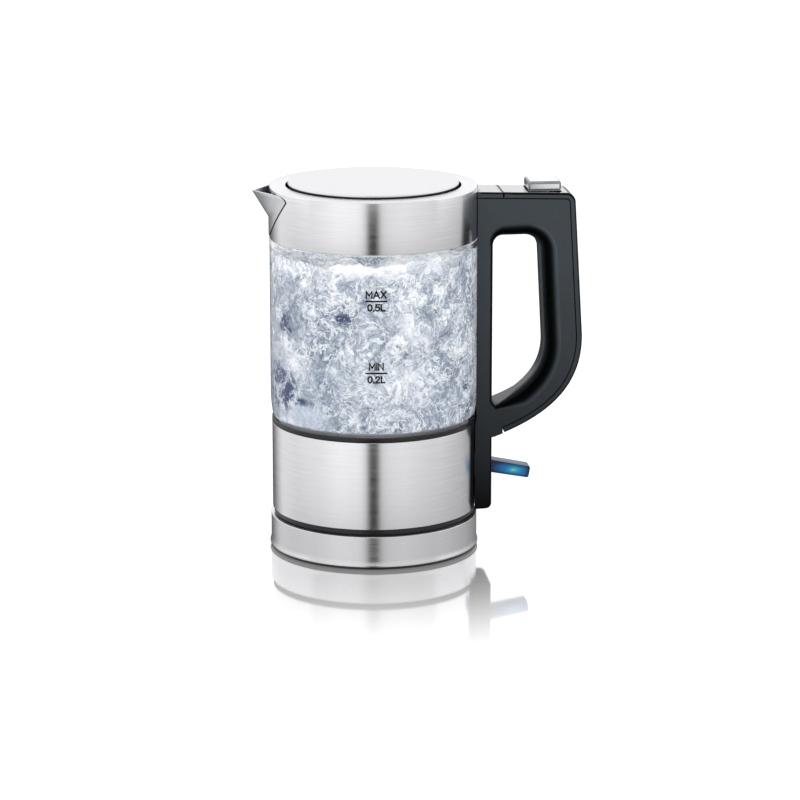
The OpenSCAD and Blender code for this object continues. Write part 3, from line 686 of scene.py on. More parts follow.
def near(p, centre, wide, high, ragged):
    """A ragged spot, 1 at its centre and 0 outside, on points of the object."""
    x, y, z = p.split()
    tear = p.math("MULTIPLY", p.math("SUBTRACT", p.noise(170.0, 4.0), 0.5), ragged / wide * 3)
    dx = p.math("DIVIDE", p.math("SUBTRACT", x, centre.x), wide)
    dy = p.math("DIVIDE", p.math("SUBTRACT", y, centre.y), wide)
    dz = p.math("DIVIDE", p.math("SUBTRACT", z, centre.z), high)
    total = p.math("ADD", p.math("MULTIPLY", dx, dx), p.math("MULTIPLY", dy, dy))
    total = p.math("SQRT", p.math("ADD", total, p.math("MULTIPLY", dz, dz)))
    node = p.tree.nodes.new("ShaderNodeMapRange")
    node.interpolation_type = "SMOOTHSTEP"
    node.inputs["From Min"].default_value = 0.55
    node.inputs["From Max"].default_value = 1.25
    node.inputs["To Min"].default_value = 1.0
    node.inputs["To Max"].default_value = 0.0
    p.tree.links.new(p.math("ADD", total, tear), node.inputs["Value"])
    return node.outputs["Result"]


def make_bubble():
    p = Paint("bubble", (0.9, 0.93, 0.96), 0.05)
    # painted shade: bubble rims darker where they turn away from the view
    edge = p.tree.nodes.new("ShaderNodeLayerWeight")
    edge.inputs["Blend"].default_value = 0.45
    tone = p.noise(300.0, 2.0)
    body = p.ramp(tone, [(0.3, (0.74, 0.79, 0.85)), (0.7, (0.97, 0.98, 1.0))])
    rim_painted_shade = p.blend(edge.outputs["Facing"], body, (0.25, 0.31, 0.40))
    p.put(rim_painted_shade, "Base Color")
    p.bump(tone, 0.2, 0.0002)
    return p.material


def make_lever():
    """Translucent lever: smoky root, a painted blue glow with a painted bright spot over the lamp, and
    painted shade towards its upper and lower faces and its tip.
    """
    p = Paint("lever_blue", (0.05, 0.25, 0.6), 0.3)
    p.set("Specular IOR Level", 0.25)
    x, y, z = p.split()
    along = p.span(x, 0.058, 0.081, 0.0, 1.0)
    cloud = p.noise(260.0, 3.0)
    along = p.math("ADD", along, p.math("MULTIPLY", p.math("SUBTRACT", cloud, 0.5), 0.12))
    body = p.ramp(along, [(0.0, (0.018, 0.02, 0.024)), (0.14, (0.008, 0.025, 0.05)),
                          (0.45, (0.003, 0.05, 0.13)), (0.72, (0.004, 0.08, 0.19)),
                          (1.0, (0.002, 0.04, 0.09))])
    centre = Vector((50 + 23 * math.cos(math.radians(LEVER_TILT)), 0,
                     41.9 - 23 * math.sin(math.radians(LEVER_TILT)))) * MM
    dx = p.math("MULTIPLY", p.math("SUBTRACT", x, centre.x), 0.55)
    dz = p.math("SUBTRACT", z, centre.z)
    reach = p.math("SQRT", p.math("ADD", p.math("MULTIPLY", dx, dx), p.math("MULTIPLY", dz, dz)))
    reach = p.math("ADD", reach, p.math("MULTIPLY", p.math("SUBTRACT", cloud, 0.5), 0.0016))
    # painted glow of the lamp through the lever, brightest right over it
    glow = p.ramp(p.span(reach, 0.0, 0.0062, 0.0, 1.0),
                  [(0.0, (0.45, 1.0, 0.3)), (0.14, (0.04, 0.5, 0.5)),
                   (0.36, (0.005, 0.22, 0.52)), (0.75, (0.0, 0.09, 0.28)), (1.0, (0.0, 0.015, 0.05))])
    tilt = math.radians(LEVER_TILT)
    off = p.math("MULTIPLY", p.math("SUBTRACT", x, 0.05), math.sin(tilt))
    off = p.math("ADD", off, p.math("MULTIPLY", p.math("SUBTRACT", z, 0.0419), math.cos(tilt)))
    # painted shade: lighter along the lever's middle, darker towards its upper and lower faces and its
    # tip, on colour and glow
    rim = p.ramp(p.span(p.math("ABSOLUTE", off), 0.0012, 0.003, 0.0, 1.0),
                 [(0.0, (1.0, 1.0, 1.0)), (1.0, (0.18, 0.22, 0.28))])
    painted_tip_shade = p.ramp(p.span(x, 0.0775, 0.0802, 0.0, 1.0),
                 [(0.0, (1.0, 1.0, 1.0)), (0.6, (0.6, 0.64, 0.66)), (1.0, (0.12, 0.16, 0.2))])
    rim = p.blend(1.0, rim, painted_tip_shade, "MULTIPLY")
    p.put(p.blend(1.0, body, rim, "MULTIPLY"), "Base Color")
    p.put(p.blend(1.0, glow, rim, "MULTIPLY"), "Emission Color")
    p.set("Emission Strength", 0.5)
    p.set("Coat Weight", 0.08)
    p.set("Coat Roughness", 0.15)
    p.bump(p.noise(700.0, 2.0), 0.15, 0.0001)
    return p.material


def make_lamp():
    p = Paint("lamp", (0.75, 0.95, 1.0), 0.1)
    tone = p.noise(900.0, 2.0)
    p.put(p.ramp(tone, [(0.3, (0.6, 0.9, 1.0)), (0.7, (0.85, 1.0, 1.0))]), "Base Color")
    p.put(p.ramp(tone, [(0.3, (0.2, 0.7, 1.0)), (0.7, (0.5, 1.0, 0.9))]), "Emission Color")
    p.set("Emission Strength", 1.5)
    return p.material


def make_print():
    p = Paint("mark_print", (0.012, 0.012, 0.014), 0.6)
    p.set("Specular IOR Level", 0.05)
    tone = p.noise(1500.0, 3.0)
    p.put(p.ramp(tone, [(0.3, (0.002, 0.002, 0.003)), (0.7, (0.006, 0.006, 0.007))]), "Base Color")
    p.bump(tone, 0.2, 0.00002)
    return p.material


STEEL = brushed("steel_brushed", (0.81, 0.81, 0.82), rough=0.23, streak=0.09)
STEEL_LID = brushed("steel_lid", (0.68, 0.68, 0.69), rough=0.32, linear=True, streak=0.03,
                    anisotropy=0.5)
# a darker copy of the brushed steel: painted shade for the collar's upward faces
STEEL_RIM_SHADE = brushed("steel_rim_painted_shade", (0.66, 0.66, 0.67), rough=0.3, streak=0.04, anisotropy=0.6)
STEEL_SPOUT = brushed("steel_spout", (0.70, 0.71, 0.73), rough=0.3, streak=0.04, anisotropy=0.4)
# a dark copy of the brushed steel: painted shade for the inside of the spout
STEEL_INSIDE_SHADE = brushed("steel_inside_painted_shade", (0.36, 0.37, 0.39), rough=0.45, anisotropy=0.0)
STEEL_BASE = brushed("steel_base", (0.64, 0.64, 0.65), rough=0.27)
STEEL_INNER = brushed("steel_inner", (0.72, 0.72, 0.73), rough=0.36)
BLACK = moulded("plastic_black", (0.006, 0.006, 0.007), 0.3, specular=0.4)
HANDLE = make_handle_plastic()
HANDLE_TOP = make_handle_top()
# a darker, duller copy of the handle plastic: painted shade for rounded top edges
HANDLE_EDGE_SHADE = moulded("plastic_handle_edge_painted_shade", (0.0016, 0.0018, 0.002), 0.35, specular=0.06)
CONNECTOR = moulded("plastic_connector", (0.022, 0.022, 0.024), 0.5, grain=0.00006, scale=1400)
RUBBER = moulded("rubber_foot", (0.03, 0.03, 0.03), 0.85, grain=0.00012, scale=1100, specular=0.25)
CONTROL = moulded("plastic_control", (0.66, 0.62, 0.50), 0.45)
SEAL = moulded("silicone_seal", (0.72, 0.72, 0.69), 0.6, specular=0.35)
DUCT = moulded("plastic_duct", (0.66, 0.66, 0.63), 0.42)
SLEEVE = moulded("wire_sleeve", (0.35, 0.05, 0.035), 0.55)
LATCH = moulded("plastic_latch", (0.09, 0.09, 0.1), 0.42)
BRASS = plated("contact_brass", (0.80, 0.58, 0.24), 0.3)
ZINC = plated("fastener_steel", (0.66, 0.67, 0.69), 0.3)
BIMETAL = plated("bimetal", (0.66, 0.62, 0.52), 0.35)
ALUMINIUM = plated("element_aluminium", (0.60, 0.60, 0.61), 0.5, scale=500)
SILVER = plated("button_silver", (0.80, 0.81, 0.82), 0.26, scale=1500, stain=0.95)
# a dark copy of the button silver: painted shade for the button's rounded edges
SILVER_EDGE_SHADE = plated("button_edge_painted_shade", (0.26, 0.27, 0.29), 0.32, scale=1500, stain=0.9)
GLASS = make_glass()
WATER = make_water()
BUBBLE = make_bubble()
LEVER = make_lever()
LAMP = make_lamp()
PRINT = make_print()

NODE_MATERIALS = {
    "base_top_plate": BLACK, "base_bottom_plate": BLACK, "jug_bottom_cover": BLACK,
    "lower_ring": BLACK, "collar_liner": BLACK, "lid_shell": BLACK, "cord_gland": BLACK,
    "base_foot_ring": RUBBER, "base_connector": CONNECTOR, "plug_housing": CONNECTOR,
    "base_contacts": BRASS, "plug_contacts": BRASS, "base_screws": ZINC, "control_screws": ZINC,
    "handle_screws": ZINC, "hinge_pin": ZINC, "switch_pin": ZINC, "control_unit": CONTROL,
    "switch_frame": CONTROL, "bimetal_discs": BIMETAL, "steam_bimetal": BIMETAL,
    "heating_element": ALUMINIUM, "heating_plate": STEEL_INNER, "lid_plate": STEEL_INNER,
    "lower_seal": SEAL, "upper_seal": SEAL, "inner_wires": SLEEVE, "latch_slider": LATCH,
    "steam_duct": DUCT, "switch_lamp": LAMP,
}


def dress(obj, material):
    """Gives an object one material."""
    obj.data.materials.clear()
    obj.data.materials.append(material)
    return obj


def paint_faces(obj, material, chosen):
    """Gives the faces that chosen picks a second material."""
    obj.data.materials.append(material)
    index = len(obj.data.materials) - 1
    for face in obj.data.polygons:
        if chosen(face):
            face.material_index = index


def piece(obj, material, body, slot, *nodes):
    """Finishes a piece: its material, its body and the CAD nodes that it stands for; slot is not used.
    """
    dress(obj, material)
    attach(obj, body)
    if nodes:
        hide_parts(*nodes)
    return obj


for node_name, node_material in NODE_MATERIALS.items():
    dress(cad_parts[node_name], node_material)

# ---------------------------------------------------------------- power base and steel band


def cylinder_y(name, x, z, r, y0, y1, steps=48):
    """A plain cylinder along Y, to cut with."""
    verts, faces = [], []
    for y in (y0, y1):
        for k in range(steps):
            a = TAU * k / steps
            verts.append((x + r * math.cos(a), y, z + r * math.sin(a)))
    for k in range(steps):
        j = (k + 1) % steps
        faces.append((k, k + steps, j + steps, j))
    faces.append(tuple(range(steps)))
    faces.append(tuple(reversed(range(steps, 2 * steps))))
    obj = add_object(name, verts, faces, sharp=None)
    fix_normals(obj)
    return obj


def make_base_ring():
    profile = [(53.8, 1.5), (53.8, 2.4), (53.35, 3.6), (53.2, 5.0), (53.2, 17.3), (50.6, 17.3),
               (50.6, 16.5), (52.3, 16.5), (52.3, 1.5)]
    ring = lathe("base_ring_steel", softened(profile, 0.45))
    cut(ring, cylinder_y("gland_hole", 0, 7.4, 4.4, 46, 60))
    piece(ring, STEEL_BASE, "base", "brushed_steel", "base_ring")


def make_band():
    profile = [(BAND_R, 20.8), (BAND_R, 66.0), (BAND_R - 0.6, 66.0), (BAND_R - 0.6, 20.8)]
    band = lathe("lower_band_steel", softened(profile, 0.3), 240, BAND_CUT, 360 - BAND_CUT)
    piece(band, STEEL, "jug", "brushed_steel", "lower_band")


def make_lower_ring():
    r = BAND_R
    profile = [(r + 0.05, 66.05), (r + 0.05, 68.3), (r - 0.2, 68.6), (51.9, 68.6), (51.6, 66.4),
               (51.6, 64.6), (51.1, 64.6), (51.1, 63.5), (46.9, 63.5), (46.9, 62.6),
               (51.65, 62.6), (51.65, 66.05)]
    ring = lathe("glass_ring_black", softened(profile, 0.25, 3))
    piece(ring, BLACK, "jug", "black_plastic", "lower_ring")


# ---------------------------------------------------------------- glass, water, marks


WATER_SKIN = 0.45


def glass_out(z):
    """Outer radius of the glass, which narrows towards its foot."""
    if z >= GLASS_BEND_Z:
        return JUG_R
    share = (GLASS_BEND_Z - z) / (GLASS_BEND_Z - GLASS_LOW)
    return JUG_R - GLASS_BEND * share * share


def make_glass_body():
    low = [GLASS_LOW + (GLASS_BEND_Z - GLASS_LOW) * i / 14 for i in range(15)]
    profile = [(glass_out(z), z) for z in low]
    profile += [(JUG_R, GLASS_TOP - 0.4), (JUG_R - 0.4, GLASS_TOP)]
    profile += [(JUG_R - GLASS_WALL + 0.4, GLASS_TOP), (JUG_R - GLASS_WALL, GLASS_TOP - 0.4)]
    profile += [(glass_out(z) - GLASS_WALL, z) for z in reversed(low)]
    body = lathe("glass_tube", profile, 256)
    piece(body, GLASS, "jug", "glass", "glass_body")


def water_top(a):
    """Height of the water at the glass wall, in a direction given in radians."""
    p = Vector((math.cos(a), math.sin(a), 0.0))
    waves = noise.noise(p * 1.7 + Vector((3.1, 0, 0))) * 5.5 + noise.noise(p * 5.0) * 2.6
    fine = noise.noise(p * 17.0) * 1.1
    left = max(0.0, -math.cos(a - math.radians(-20)))
    right = max(0.0, math.cos(a - math.radians(-35)))
    return min(160.9, 156.0 + waves + fine + 5.5 * left ** 3 + 4.0 * right ** 4)


def make_water_body():
    """The boiling water as one closed skin inside the glass."""
    around, up, across = 360, 150, 44
    floor_z = 70.6
    verts, faces = [], []
    rows = []
    for i in range(up + 1):
        t = i / up
        row = []
        for c in range(around):
            a = TAU * c / around
            top = water_top(a)
            z = floor_z + (top - floor_z) * t
            r = glass_out(z) - WATER_SKIN
            p = Vector((math.cos(a) * r, math.sin(a) * r, z))
            dent = noise.turbulence(p * 0.075, 4, False) * 2.6
            dent += noise.turbulence(p * 0.28, 3, False) * 0.9
            fade = min(1.0, (1 - t) * 14) * 0.6 + 0.4
            r -= max(0.0, dent) * fade
            row.append(len(verts))
            verts.append((math.cos(a) * r, math.sin(a) * r, z))
        rows.append(row)
    for k in range(1, across):
        s = 1 - k / across
        row = []
        for c in range(around):
            a = TAU * c / around
            base = rows[up][c]
            x, y, z = verts[base]
            centre_z = 154.0
            q = Vector((x * s, y * s, 0))
            chop = noise.turbulence(q * 0.05 + Vector((9, 2, 4)), 4, False) * 7.0 - 4.0
            chop += noise.turbulence(q * 0.2 + Vector((1, 7, 4)), 3, False) * 2.0
            share = min(1.0, (1 - s) * 4)
            height = min(160.9, z * s + centre_z * (1 - s) + chop * share)
            row.append(len(verts))
            verts.append((x * s, y * s, height))
        rows.append(row)
    for a, b in zip(rows, rows[1:]):
        for c in range(around):
            d = (c + 1) % around
            faces.append((a[c], a[d], b[d], b[c]))
    top_centre = len(verts)
    verts.append((0, 0, 155.0))
    foot_centre = len(verts)
    verts.append((0, 0, floor_z))
    for c in range(around):
        d = (c + 1) % around
        faces.append((rows[-1][c], rows[-1][d], top_centre))
        faces.append((rows[0][d], rows[0][c], foot_centre))
    water = add_object("boiling_water", verts, faces, sharp=None)
    fix_normals(water)
    piece(water, WATER, "jug", "glass")


def make_bubbles():
    """Bubbles that cling to and rise along the wall."""
    rng = random.Random(41)
    ball = bmesh.new()
    bmesh.ops.create_icosphere(ball, subdivisions=2, radius=1.0)
    ball_verts = [v.co.copy() for v in ball.verts]
    ball_faces = [tuple(v.index for v in f.verts) for f in ball.faces]
    ball.free()
    verts, faces = [], []
    for _ in range(900):
        a = rng.uniform(0, TAU)
        z = 72 + 84 * rng.random() ** 1.25
        size = 0.25 + 0.75 * rng.random() ** 3
        r = glass_out(z) - WATER_SKIN - 0.1 - size * 0.75 - rng.random() * 0.8
        centre = Vector((math.cos(a) * r, math.sin(a) * r, z))
        squash = Vector((1, 1, rng.uniform(0.65, 1.1)))
        start = len(verts)
        for v in ball_verts:
            verts.append(centre + Vector((v.x * squash.x, v.y * squash.y, v.z * squash.z)) * size)
        faces.extend(tuple(start + k for k in f) for f in ball_faces)
    bubbles = add_object("water_bubbles", verts, faces, sharp=None)
    piece(bubbles, BUBBLE, "jug", "glass")


MARK_ANGLE = -94.4
MARK_R = JUG_R + 0.03


def ellipse(cx, cz, rx, rz, n=22):
    return [(cx + rx * math.cos(TAU * i / n), cz + rz * math.sin(TAU * i / n)) for i in range(n)]


# strokes of each sign in a cell one unit high: (width, list of (points, closed))
STROKES = {
    "M": (0.84, [([(0, 0), (0, 1), (0.42, 0.3), (0.84, 1), (0.84, 0)], False)]),
    "A": (0.84, [([(0, 0), (0.42, 1), (0.84, 0)], False), ([(0.15, 0.33), (0.69, 0.33)], False)]),
    "X": (0.74, [([(0, 0), (0.74, 1)], False), ([(0, 1), (0.74, 0)], False)]),
    "I": (0.0, [([(0, 0), (0, 1)], False)]),
    "N": (0.68, [([(0, 0), (0, 1), (0.68, 0), (0.68, 1)], False)]),
    "L": (0.52, [([(0, 1), (0, 0), (0.52, 0)], False)]),
    "0": (0.64, [(ellipse(0.32, 0.5, 0.32, 0.5), True)]),
    "5": (0.62, [([(0.58, 1), (0.1, 1), (0.05, 0.54), (0.2, 0.63), (0.36, 0.65), (0.52, 0.58),
                   (0.62, 0.44), (0.62, 0.26), (0.52, 0.08), (0.34, 0), (0.16, 0.03),
                   (0.02, 0.15)], False)]),
    "2": (0.62, [([(0.02, 0.72), (0.08, 0.88), (0.22, 0.99), (0.4, 0.99), (0.55, 0.89),
                   (0.6, 0.73), (0.53, 0.56), (0.0, 0), (0.62, 0)], False)]),
    ".": (0.0, [([(0, -0.04), (0, 0.09)], False)]),
}


def ribbon(points, width, closed):
    """Flat band along a line, mitred at its corners: (points, faces)."""
    verts, faces = [], []
    n = len(points)
    for i in range(n):
        here = Vector(points[i])
        before = Vector(points[i - 1]) if i or closed else None
        after = Vector(points[(i + 1) % n]) if i < n - 1 or closed else None
        a = (here - before).normalized() if before else (after - here).normalized()
        b = (after - here).normalized() if after else a
        mid = (a + b).normalized()
        side = Vector((-mid.y, mid.x)) / max(0.42, mid.dot(a)) * width / 2
        cap = 0.0 if before and after else width / 2
        here = here + a * cap * (1 if before else -1)
        verts += [tuple(here + side), tuple(here - side)]
    for i in range(n if closed else n - 1):
        j = (i + 1) % n
        faces.append((2 * i, 2 * i + 1, 2 * j + 1, 2 * j))
    return verts, faces


def lettering(text, height, stroke, gap):
    """A short text as flat bands, in millimetres, centred on x."""
    total = sum(STROKES[c][0] * height for c in text) + gap * (len(text) - 1)
    x = -total / 2
    verts, faces = [], []
    for c in text:
        wide, lines = STROKES[c]
        for points, closed in lines:
            band, quads = ribbon([(x + u * height, v * height) for u, v in points], stroke, closed)
            start = len(verts)
            verts += band
            faces += [tuple(start + k for k in f) for f in quads]
        x += wide * height + gap
    return verts, faces


def wrap(flat, z0):
    """Bends flat points round the glass, at the marks' side."""
    out = []
    for u, v in flat:
        a = math.radians(MARK_ANGLE) + u / MARK_R
        out.append((MARK_R * math.cos(a), MARK_R * math.sin(a), z0 + v))
    return out


def make_marks():
    verts, faces = [], []
    for line_z, over, under in ((138.7, "MAX", "0.5L"), (102.1, "MIN", "0.2L")):
        strip = []
        for k in range(13):
            u = -5.5 + 11.0 * k / 12
            strip.append((u, -0.4))
            strip.append((u, 0.4))
        start = len(verts)
        verts += wrap(strip, line_z)
        faces += [(start + 2 * k, start + 2 * k + 2, start + 2 * k + 3, start + 2 * k + 1)
                  for k in range(12)]
        for text, z0, high in ((over, line_z + 1.75, 3.3), (under, line_z - 4.75, 3.1)):
            flat, quads = lettering(text, high, 0.76, 0.9)
            start = len(verts)
            verts += wrap(flat, z0)
            faces += [tuple(start + k for k in f) for f in quads]
    marks = add_object("level_marks", verts, faces, sharp=None)
    piece(marks, PRINT, "jug", "glass")


# ---------------------------------------------------------------- collar, spout, lid


def make_collar():
    r = JUG_R
    profile = [(r, COLLAR_LOW), (r, COLLAR_TOP - 0.8), (r - 0.12, COLLAR_TOP - 0.35),
               (r - 0.4, COLLAR_TOP - 0.08), (r - 0.8, COLLAR_TOP), (MOUTH_R, COLLAR_TOP),
               (MOUTH_R, COLLAR_TOP - 0.7), (r - COLLAR_WALL, COLLAR_TOP - 0.7),
               (r - COLLAR_WALL, COLLAR_LOW)]
    collar = lathe("collar_steel", softened(profile, 0.25, 3))
    window = [(0, 171.5), (21, 186.6), (-21, 186.6)]
    verts = [(-80, y, z) for y, z in window] + [(-40, y, z) for y, z in window]
    faces = [(0, 1, 2), (5, 4, 3), (0, 3, 4, 1), (1, 4, 5, 2), (2, 5, 3, 0)]
    tool = add_object("window", verts, faces, sharp=None)
    fix_normals(tool)
    cut(collar, tool)
    piece(collar, STEEL, "jug", "brushed_steel", "collar")
    # painted shade: the collar's upward faces take the darker steel copy
    paint_faces(collar, STEEL_RIM_SHADE, lambda f: f.normal.z > 0.7)


SPOUT_LOW = 163.5
SPOUT_TOP = 186.5
SPOUT_CORNER_Z = 184.0
SPOUT_EDGE_R = JUG_R + 0.4


def spout_angle(z):
    """Half angle that the spout spans on the collar: a V with rounded upper corners."""
    share = min(1.0, (z - SPOUT_LOW) / (SPOUT_CORNER_Z - SPOUT_LOW))
    over = max(0.0, z - SPOUT_CORNER_Z) / (SPOUT_TOP - SPOUT_CORNER_Z)
    return math.radians(1.5 + 27.1 * share ** 0.8 - 5 * over * over)


def spout_fold(z):
    """Distance of the spout's fold from the jug's axis."""
    return max(SPOUT_EDGE_R + 0.1, 52.9 + 9.2 * (z - 171.2) / (SPOUT_TOP - 171.2))


def make_spout():
    """The folded sheet of the spout, with its own thickness and a soft fold; its seam edges carry
    painted black shade and its inside painted darker shade.
    """
    levels, half_steps, sheet, wall_r = 46, 14, 0.95, JUG_R + 0.06
    columns = 2 * half_steps + 1
    outer, inner = [], []
    for i in range(levels + 1):
        z = SPOUT_LOW + (SPOUT_TOP - SPOUT_LOW) * i / levels
        a = spout_angle(z)
        fold = Vector((-spout_fold(z), 0.0))
        for k in range(-half_steps, half_steps + 1):
            s = abs(k) / half_steps
            side = 1 if k >= 0 else -1
            edge = Vector((-SPOUT_EDGE_R * math.cos(a), side * SPOUT_EDGE_R * math.sin(a)))
            p = fold.lerp(edge, s)
            reach = (fold - edge).length
            soft = 0.35 * max(0.0, 1 - s * 5) ** 2 * min(1.0, reach / 14)
            hollow = 0.2 * math.sin(math.pi * s) * min(1.0, reach / 12)
            n = Vector((edge.y - fold.y, fold.x - edge.x)).normalized() * side
            if n.x > 0:
                n = -n
            q = p - n * hollow + Vector((soft, 0))
            q *= max(1.0, SPOUT_EDGE_R / q.length)
            thick = sheet * min(1.0, 0.25 + reach / 10)
            inward = q - n * thick
            if s < 0.2:
                inward = q + Vector((thick * 1.15, 0)) * (1 - s * 5) - n * thick * s * 5
            if z < 172 or s == 1:
                inward *= max(1.0, wall_r / inward.length)
            if s == 1:
                rim = a + math.radians(0.75)
                inward = Vector((-wall_r * math.cos(rim), side * wall_r * math.sin(rim)))
            outer.append((q.x, q.y, z))
            inner.append((inward.x, inward.y, z))
    shift = len(outer)
    faces = []
    for i in range(levels):
        for k in range(columns - 1):
            a = i * columns + k
            faces.append((a, a + 1, a + 1 + columns, a + columns))
            faces.append((a + shift, a + shift + columns, a + shift + columns + 1, a + shift + 1))
        for k in (0, columns - 1):
            a = i * columns + k
            faces.append((a, a + columns, a + columns + shift, a + shift))
    for i in (0, levels):
        for k in range(columns - 1):
            a = i * columns + k
            faces.append((a, a + 1, a + 1 + shift, a + shift))
    seam_shade_faces = {i for i, f in enumerate(faces) if f[0] < shift <= f[2] and f[1] == f[0] + columns}
    insides = {i for i, f in enumerate(faces) if f[0] >= shift}
    spout = add_object("spout_steel", outer + inner, faces, sharp=None)
    fix_normals(spout)
    spout.data.set_sharp_from_angle(angle=math.radians(28))
    piece(spout, STEEL_SPOUT, "jug", "brushed_steel", "spout")
    # painted shade: the sheet's seam edges are painted black
    paint_faces(spout, BLACK, lambda f: f.index in seam_shade_faces)
    # painted shade: the spout's inside takes the dark steel copy
    paint_faces(spout, STEEL_INSIDE_SHADE, lambda f: f.index in insides)


def make_lid():
    top = LID_TOP
    profile = [(0, top - 0.7), (LID_R - 0.9, top - 0.7), (LID_R - 0.9, top - 1.2),
               (LID_R - 0.1, top - 1.2), (LID_R, top - 1.1), (LID_R - 0.05, top - 0.7),
               (LID_R - 0.4, top - 0.2), (LID_R - 1.1, top), (0, top)]
    cap = lathe("lid_steel", softened(profile, 0.3, 4), sharp=50)
    piece(cap, STEEL_LID, "lid", "brushed_steel", "lid_cap")


# ---------------------------------------------------------------- handle


def top_z(x):
    return 185.3 - 0.028 * (x - 52)


BACK = ((106.4, 110), (106.9, 82), (88.2, 67.1), (60, 56.9))
STRIP_END = 0.92


def shifted(points, d):
    """Moves an open outline to the right of its own direction."""
    out = []
    for i, p in enumerate(points):
        here = Vector(p)
        a = (here - Vector(points[i - 1])).normalized() if i else None
        b = (Vector(points[i + 1]) - here).normalized() if i < len(points) - 1 else a
        u = ((a or b) + b).normalized()
        out.append((here.x + d * u.y, here.y - d * u.x))
    return out


def strip_line():
    corner_x, corner_r = 97.3, 5
    line = [(SEAM_X + (corner_x - SEAM_X) * i / 6, top_z(SEAM_X + (corner_x - SEAM_X) * i / 6))
            for i in range(6)]
    line += arc(corner_x, top_z(corner_x) - corner_r, corner_r, 88, 3, 12)
    back_start = Vector(line[-1])
    joint = Vector(BACK[0])
    line += [tuple(back_start.lerp(joint, i / 6)) for i in range(1, 6)]
    line += curve(*BACK, 0, STRIP_END, 30)
    return line


def hole_line():
    """The grip's opening, anticlockwise from the spine, with each point's edge radius."""
    points = [(SPINE_X, 76 + (157 - 76) * i / 10, 1.8) for i in range(10)]
    points += [(x, z, 1.8 + 4.7 * i / 8) for i, (x, z) in enumerate(arc(65, 157, 5, 180, 90, 8))]
    points += [(65 + 11.6 * i / 5, 162, 6.5 + 0.8 * i / 5) for i in range(1, 5)]
    points += [(x, z, 7.3 + 1.5 * i / 10) for i, (x, z) in enumerate(arc(76.6, 154, 8, 90, 3, 10))]
    start, end = Vector(arc(76.6, 154, 8, 3, 3, 1)[0]), Vector((87.1, 107))
    points += [(*start.lerp(end, i / 8), 8.8) for i in range(1, 8)]
    lower = curve((87.1, 107), (87.6, 90), (76, 81), (62, 73.6), 0, 1, 24)
    for i, (x, z) in enumerate(lower):
        fade = max(0.0, (i - 17) / 7)
        points.append((x, z, 8.8 - 6.6 * fade))
    return points


def wall_radius(z):
    """Radius of what the spine stands against, at a height."""
    return JUG_R + 0.12 if z > 66 else 52.45


def resample(points, step):
    """Adds points to the long straight sides of a closed outline."""
    out = []
    n = len(points)
    for i in range(n):
        a, b = Vector(points[i]), Vector(points[(i + 1) % n])
        count = max(1, int((b - a).length / step))
        out += [tuple(a.lerp(b, k / count)) for k in range(count)]
    return out


def area(points):
    n = len(points)
    return sum(points[i][0] * points[(i + 1) % n][1] - points[(i + 1) % n][0] * points[i][1]
               for i in range(n)) / 2


def make_handle_body():
    strip = strip_line()
    under = shifted(strip, STRIP_T + 0.12)
    tail = curve(*BACK, STRIP_END + 0.012, 1, 4)
    outline = [(53.0, top_z(53) - STRIP_T - 0.12)]
    outline += under[1:]
    outline += tail
    outline += [(SPINE_X, 56.5), (SPINE_X, 22)]
    outline += arc(57, 22, 3, 0, -90, 6)[1:]
    outline += [(52.2, 19)]
    outline = list(reversed(outline))
    if area(outline) < 0:
        outline.reverse()
    outline = resample(outline, 4.0)
    radii = []
    for x, z in outline:
        if x < 53.2:
            radii.append(0.3)
        elif z < 57:
            radii.append(1.4)
        else:
            radii.append(0.3)
    hole = hole_line()
    hole_points = [(x, z) for x, z, r in hole]
    hole_radii = [r for x, z, r in hole]
    if area(hole_points) > 0:
        hole_points.reverse()
        hole_radii.reverse()
    body = slab("handle_moulding", [(outline, radii), (hole_points, hole_radii)], HANDLE_HALF,
                wall_radius)
    flange = [(50.2, 24.3), (52.2, 24.3), (52.2, 62.3), (50.2, 62.3)]
    skirt = [(51.85, 20.9), (52.2, 20.9), (52.2, 65.9), (51.85, 65.9)]
    flanges = [lathe("flange", flange, 48, 12.6, 24.4), lathe("flange", flange, 48, -24.4, -12.6),
               lathe("skirt", skirt, 48, 12.6, 24.4), lathe("skirt", skirt, 48, -24.4, -12.6)]
    piece(join("handle_flange", flanges), BLACK, "jug", "handle_plastic", "handle_body")
    lever_slot = block("slot", 53, 62, -5.2, 5.2, 36.1, 47, 0.2, 1)
    cut(body, lever_slot)
    button_well = block("button_well", 78.0, 95.5, -9.1, 9.1, 181.0, 192, 0.2, 1)
    cut(body, button_well)
    stem_slot = block("stem_slot", 81.2, 92.8, -3.0, 3.0, 164.4, 181.4, 0.2, 1)
    cut(body, stem_slot)
    latch_way = block("latch_way", 50, 77, -4.0, 4.0, 178.6, 181.2, 0.2, 1)
    cut(body, latch_way)
    latch_room = block("latch_room", 75.5, 98.3, -6.2, 6.2, 178.3, 181.3, 0.2, 1)
    cut(body, latch_room)
    piece(body, HANDLE, "jug", "handle_plastic", "handle_body")


def finish_top(cover):
    """Clear flat top of a cover on the handle, and painted black shade on its rounded top edge."""
    high = 0.17
    paint_faces(cover, HANDLE_TOP, lambda f: f.normal.z > 0.985 and f.center.z > high)
    paint_faces(cover, HANDLE_EDGE_SHADE, lambda f: 0.05 < f.normal.z <= 0.985 and f.center.z > high
                and abs(f.normal.y) > 0.12)


